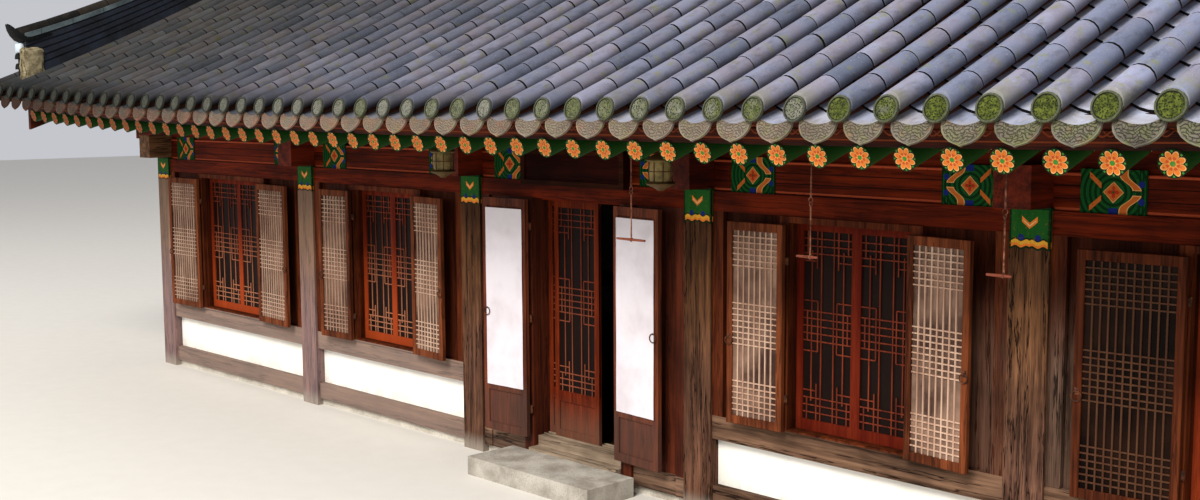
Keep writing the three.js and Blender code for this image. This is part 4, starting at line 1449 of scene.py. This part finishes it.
def hook(number, x, left, right):
    """A twisted iron rod with an eye in its middle and a wooden bar through its foot."""
    y, foot = FRONT - 0.6, 1.905
    bm = bmesh.new()
    rod(bm, (x - left, y, foot), (x, y, foot), 0.007, 10, 1, tip=0.0092)
    rod(bm, (x, y, foot), (x + right, y, foot), 0.0092, 10, 1, tip=0.007)
    for shift in (-0.0028, 0.0028):
        rod(bm, (x + shift, y, 1.915), (x - shift, y, 2.2), 0.0036, 6)
        rod(bm, (x - shift, y, 2.24), (x + shift, y, rod_top(x, y)), 0.0036, 6)
    ring(bm, (x, y, 2.228), (0, 1, 0), 0.014, 0.0028)
    ring(bm, (x, y, 2.204), (1, 0, 0), 0.012, 0.0028)
    ring(bm, (x, y, foot), (1, 0, 0), 0.0115, 0.003)
    show(f"lifting_hook_{number}_detailed", bm, [ROD_IRON, HOOK_BAR], smooth=40,
         replaces=[f"lifting_hook_{number}"])


lantern("lantern_left", -0.91525)
lantern("lantern_right", 1.32)
hook(1, 1.17675, 0.13, 0.12)
hook(2, 2.59, 0.095, 0.05)
hook(3, 3.79175, 0.095, 0.045)


# CAD pieces that keep their shape get their finish here
def dress(finish, *names):
    for name in names:
        for slot in NODES[name].material_slots:
            slot.material = finish


dress(post_finish(), *[f"front_post_{k}" for k in range(1, 7)])
dress(plate_finish(), "front_wall_plate", "rear_wall_plate")
dress(plain_timber("purlin_wood", *RED_BROWN, "X", cracks=0.5),
      "front_mid_purlin", "rear_mid_purlin", "ridge_purlin")
dress(BEAM_WOOD, *[f"cross_beam_{k}" for k in (2, 3, 4, 5)])
dress(wall_finish("gable_wall", "x", 6.34, True), "left_gable", "right_gable")
dress(wall_finish("side_wall", "x", 6.34), "left_wall", "right_wall")
dress(wall_finish("rear_wall", "y", 2.385), "rear_wall")
dress(bay_finish(), *[f"window_bay_{k}" for k in WINDOWS])
dress(leaf_finish("outer_leaf_left_wood", -1), "outer_door_left")
dress(leaf_finish("outer_leaf_right_wood", 1), "outer_door_right")
dress(sash_finish("inner_leaf_front_wood", FRONT + 0.137), "inner_door_front")
dress(sash_finish("inner_leaf_rear_wood", FRONT + 0.181), "inner_door_rear")
dress(side_finish(), "door_side_left", "door_side_right")
dress(plain_timber("worn_threshold", "6f5d4c", "bba78f", "X", cracks=0.7), "threshold")
dress(plain_timber("floor_boards", "4a3324", "8a6a4c", "X", cracks=0.6), "floor")
dress(stone_finish("step_stone", "8d867b", "b9b3a8"), "door_step")
dress(stone_finish("footing_stone", "a59d8f", "cfc8bb"), "footing")
dress(board_finish(), "name_board")
dress(plain_timber("bargeboard_wood", "250b05", "65290f", "Y", cracks=0.6),
      "left_bargeboard", "right_bargeboard")


# Floor, light and camera
def studio():
    bm = bmesh.new()
    bmesh.ops.create_grid(bm, x_segments=1, y_segments=1, size=60)
    mesh = bpy.data.meshes.new("studio_floor")
    bm.to_mesh(mesh)
    bm.free()
    mesh.materials.append(floor_finish())
    floor = bpy.data.objects.new("studio_floor", mesh)
    bpy.context.scene.collection.objects.link(floor)
    world = bpy.data.worlds.new("studio_sky")
    world.use_nodes = True
    sky = world.node_tree.nodes["Background"]
    sky.inputs["Color"].default_value = (0.92, 0.94, 1.0, 1)
    sky.inputs["Strength"].default_value = 0.6
    bpy.context.scene.world = world
    for name, place, aim, size, power, colour in (
            ("key_light", (7.4, -24, 21.2), (1, 0, 2), 12.8, 12000, (1.0, 0.96, 0.9)),
            ("fill_light", (-18.5, -20, 9.8), (-2, -2, 1.5), 18, 2000, (1.0, 0.98, 0.95))):
        light = bpy.data.lights.new(name, "AREA")
        light.size = size
        light.energy = power
        light.color = colour
        lamp = bpy.data.objects.new(name, light)
        lamp.location = place
        lamp.rotation_euler = (Vector(aim) - Vector(place)).to_track_quat("-Z", "Y").to_euler()
        bpy.context.scene.collection.objects.link(lamp)


def photo_camera():
    """The photograph's view: heading, tilt down from level and roll are in degrees."""
    place, heading, tilt, roll = (7.305, -9.330, 2.798), 45.93, 6.27, -0.285
    lens = bpy.data.cameras.new("photo_camera")
    lens.lens = 41.37
    lens.sensor_width = 36
    lens.sensor_fit = "HORIZONTAL"
    lens.clip_end = 300
    camera = bpy.data.objects.new("photo_camera", lens)
    turn = rotation(heading, "Z") @ rotation(90 - tilt, "X") @ rotation(roll, "Z")
    camera.matrix_world = Matrix.Translation(place) @ turn
    bpy.context.scene.collection.objects.link(camera)
    bpy.context.scene.camera = camera


studio()
photo_camera()
bpy.context.scene.view_settings.view_transform = "Standard"
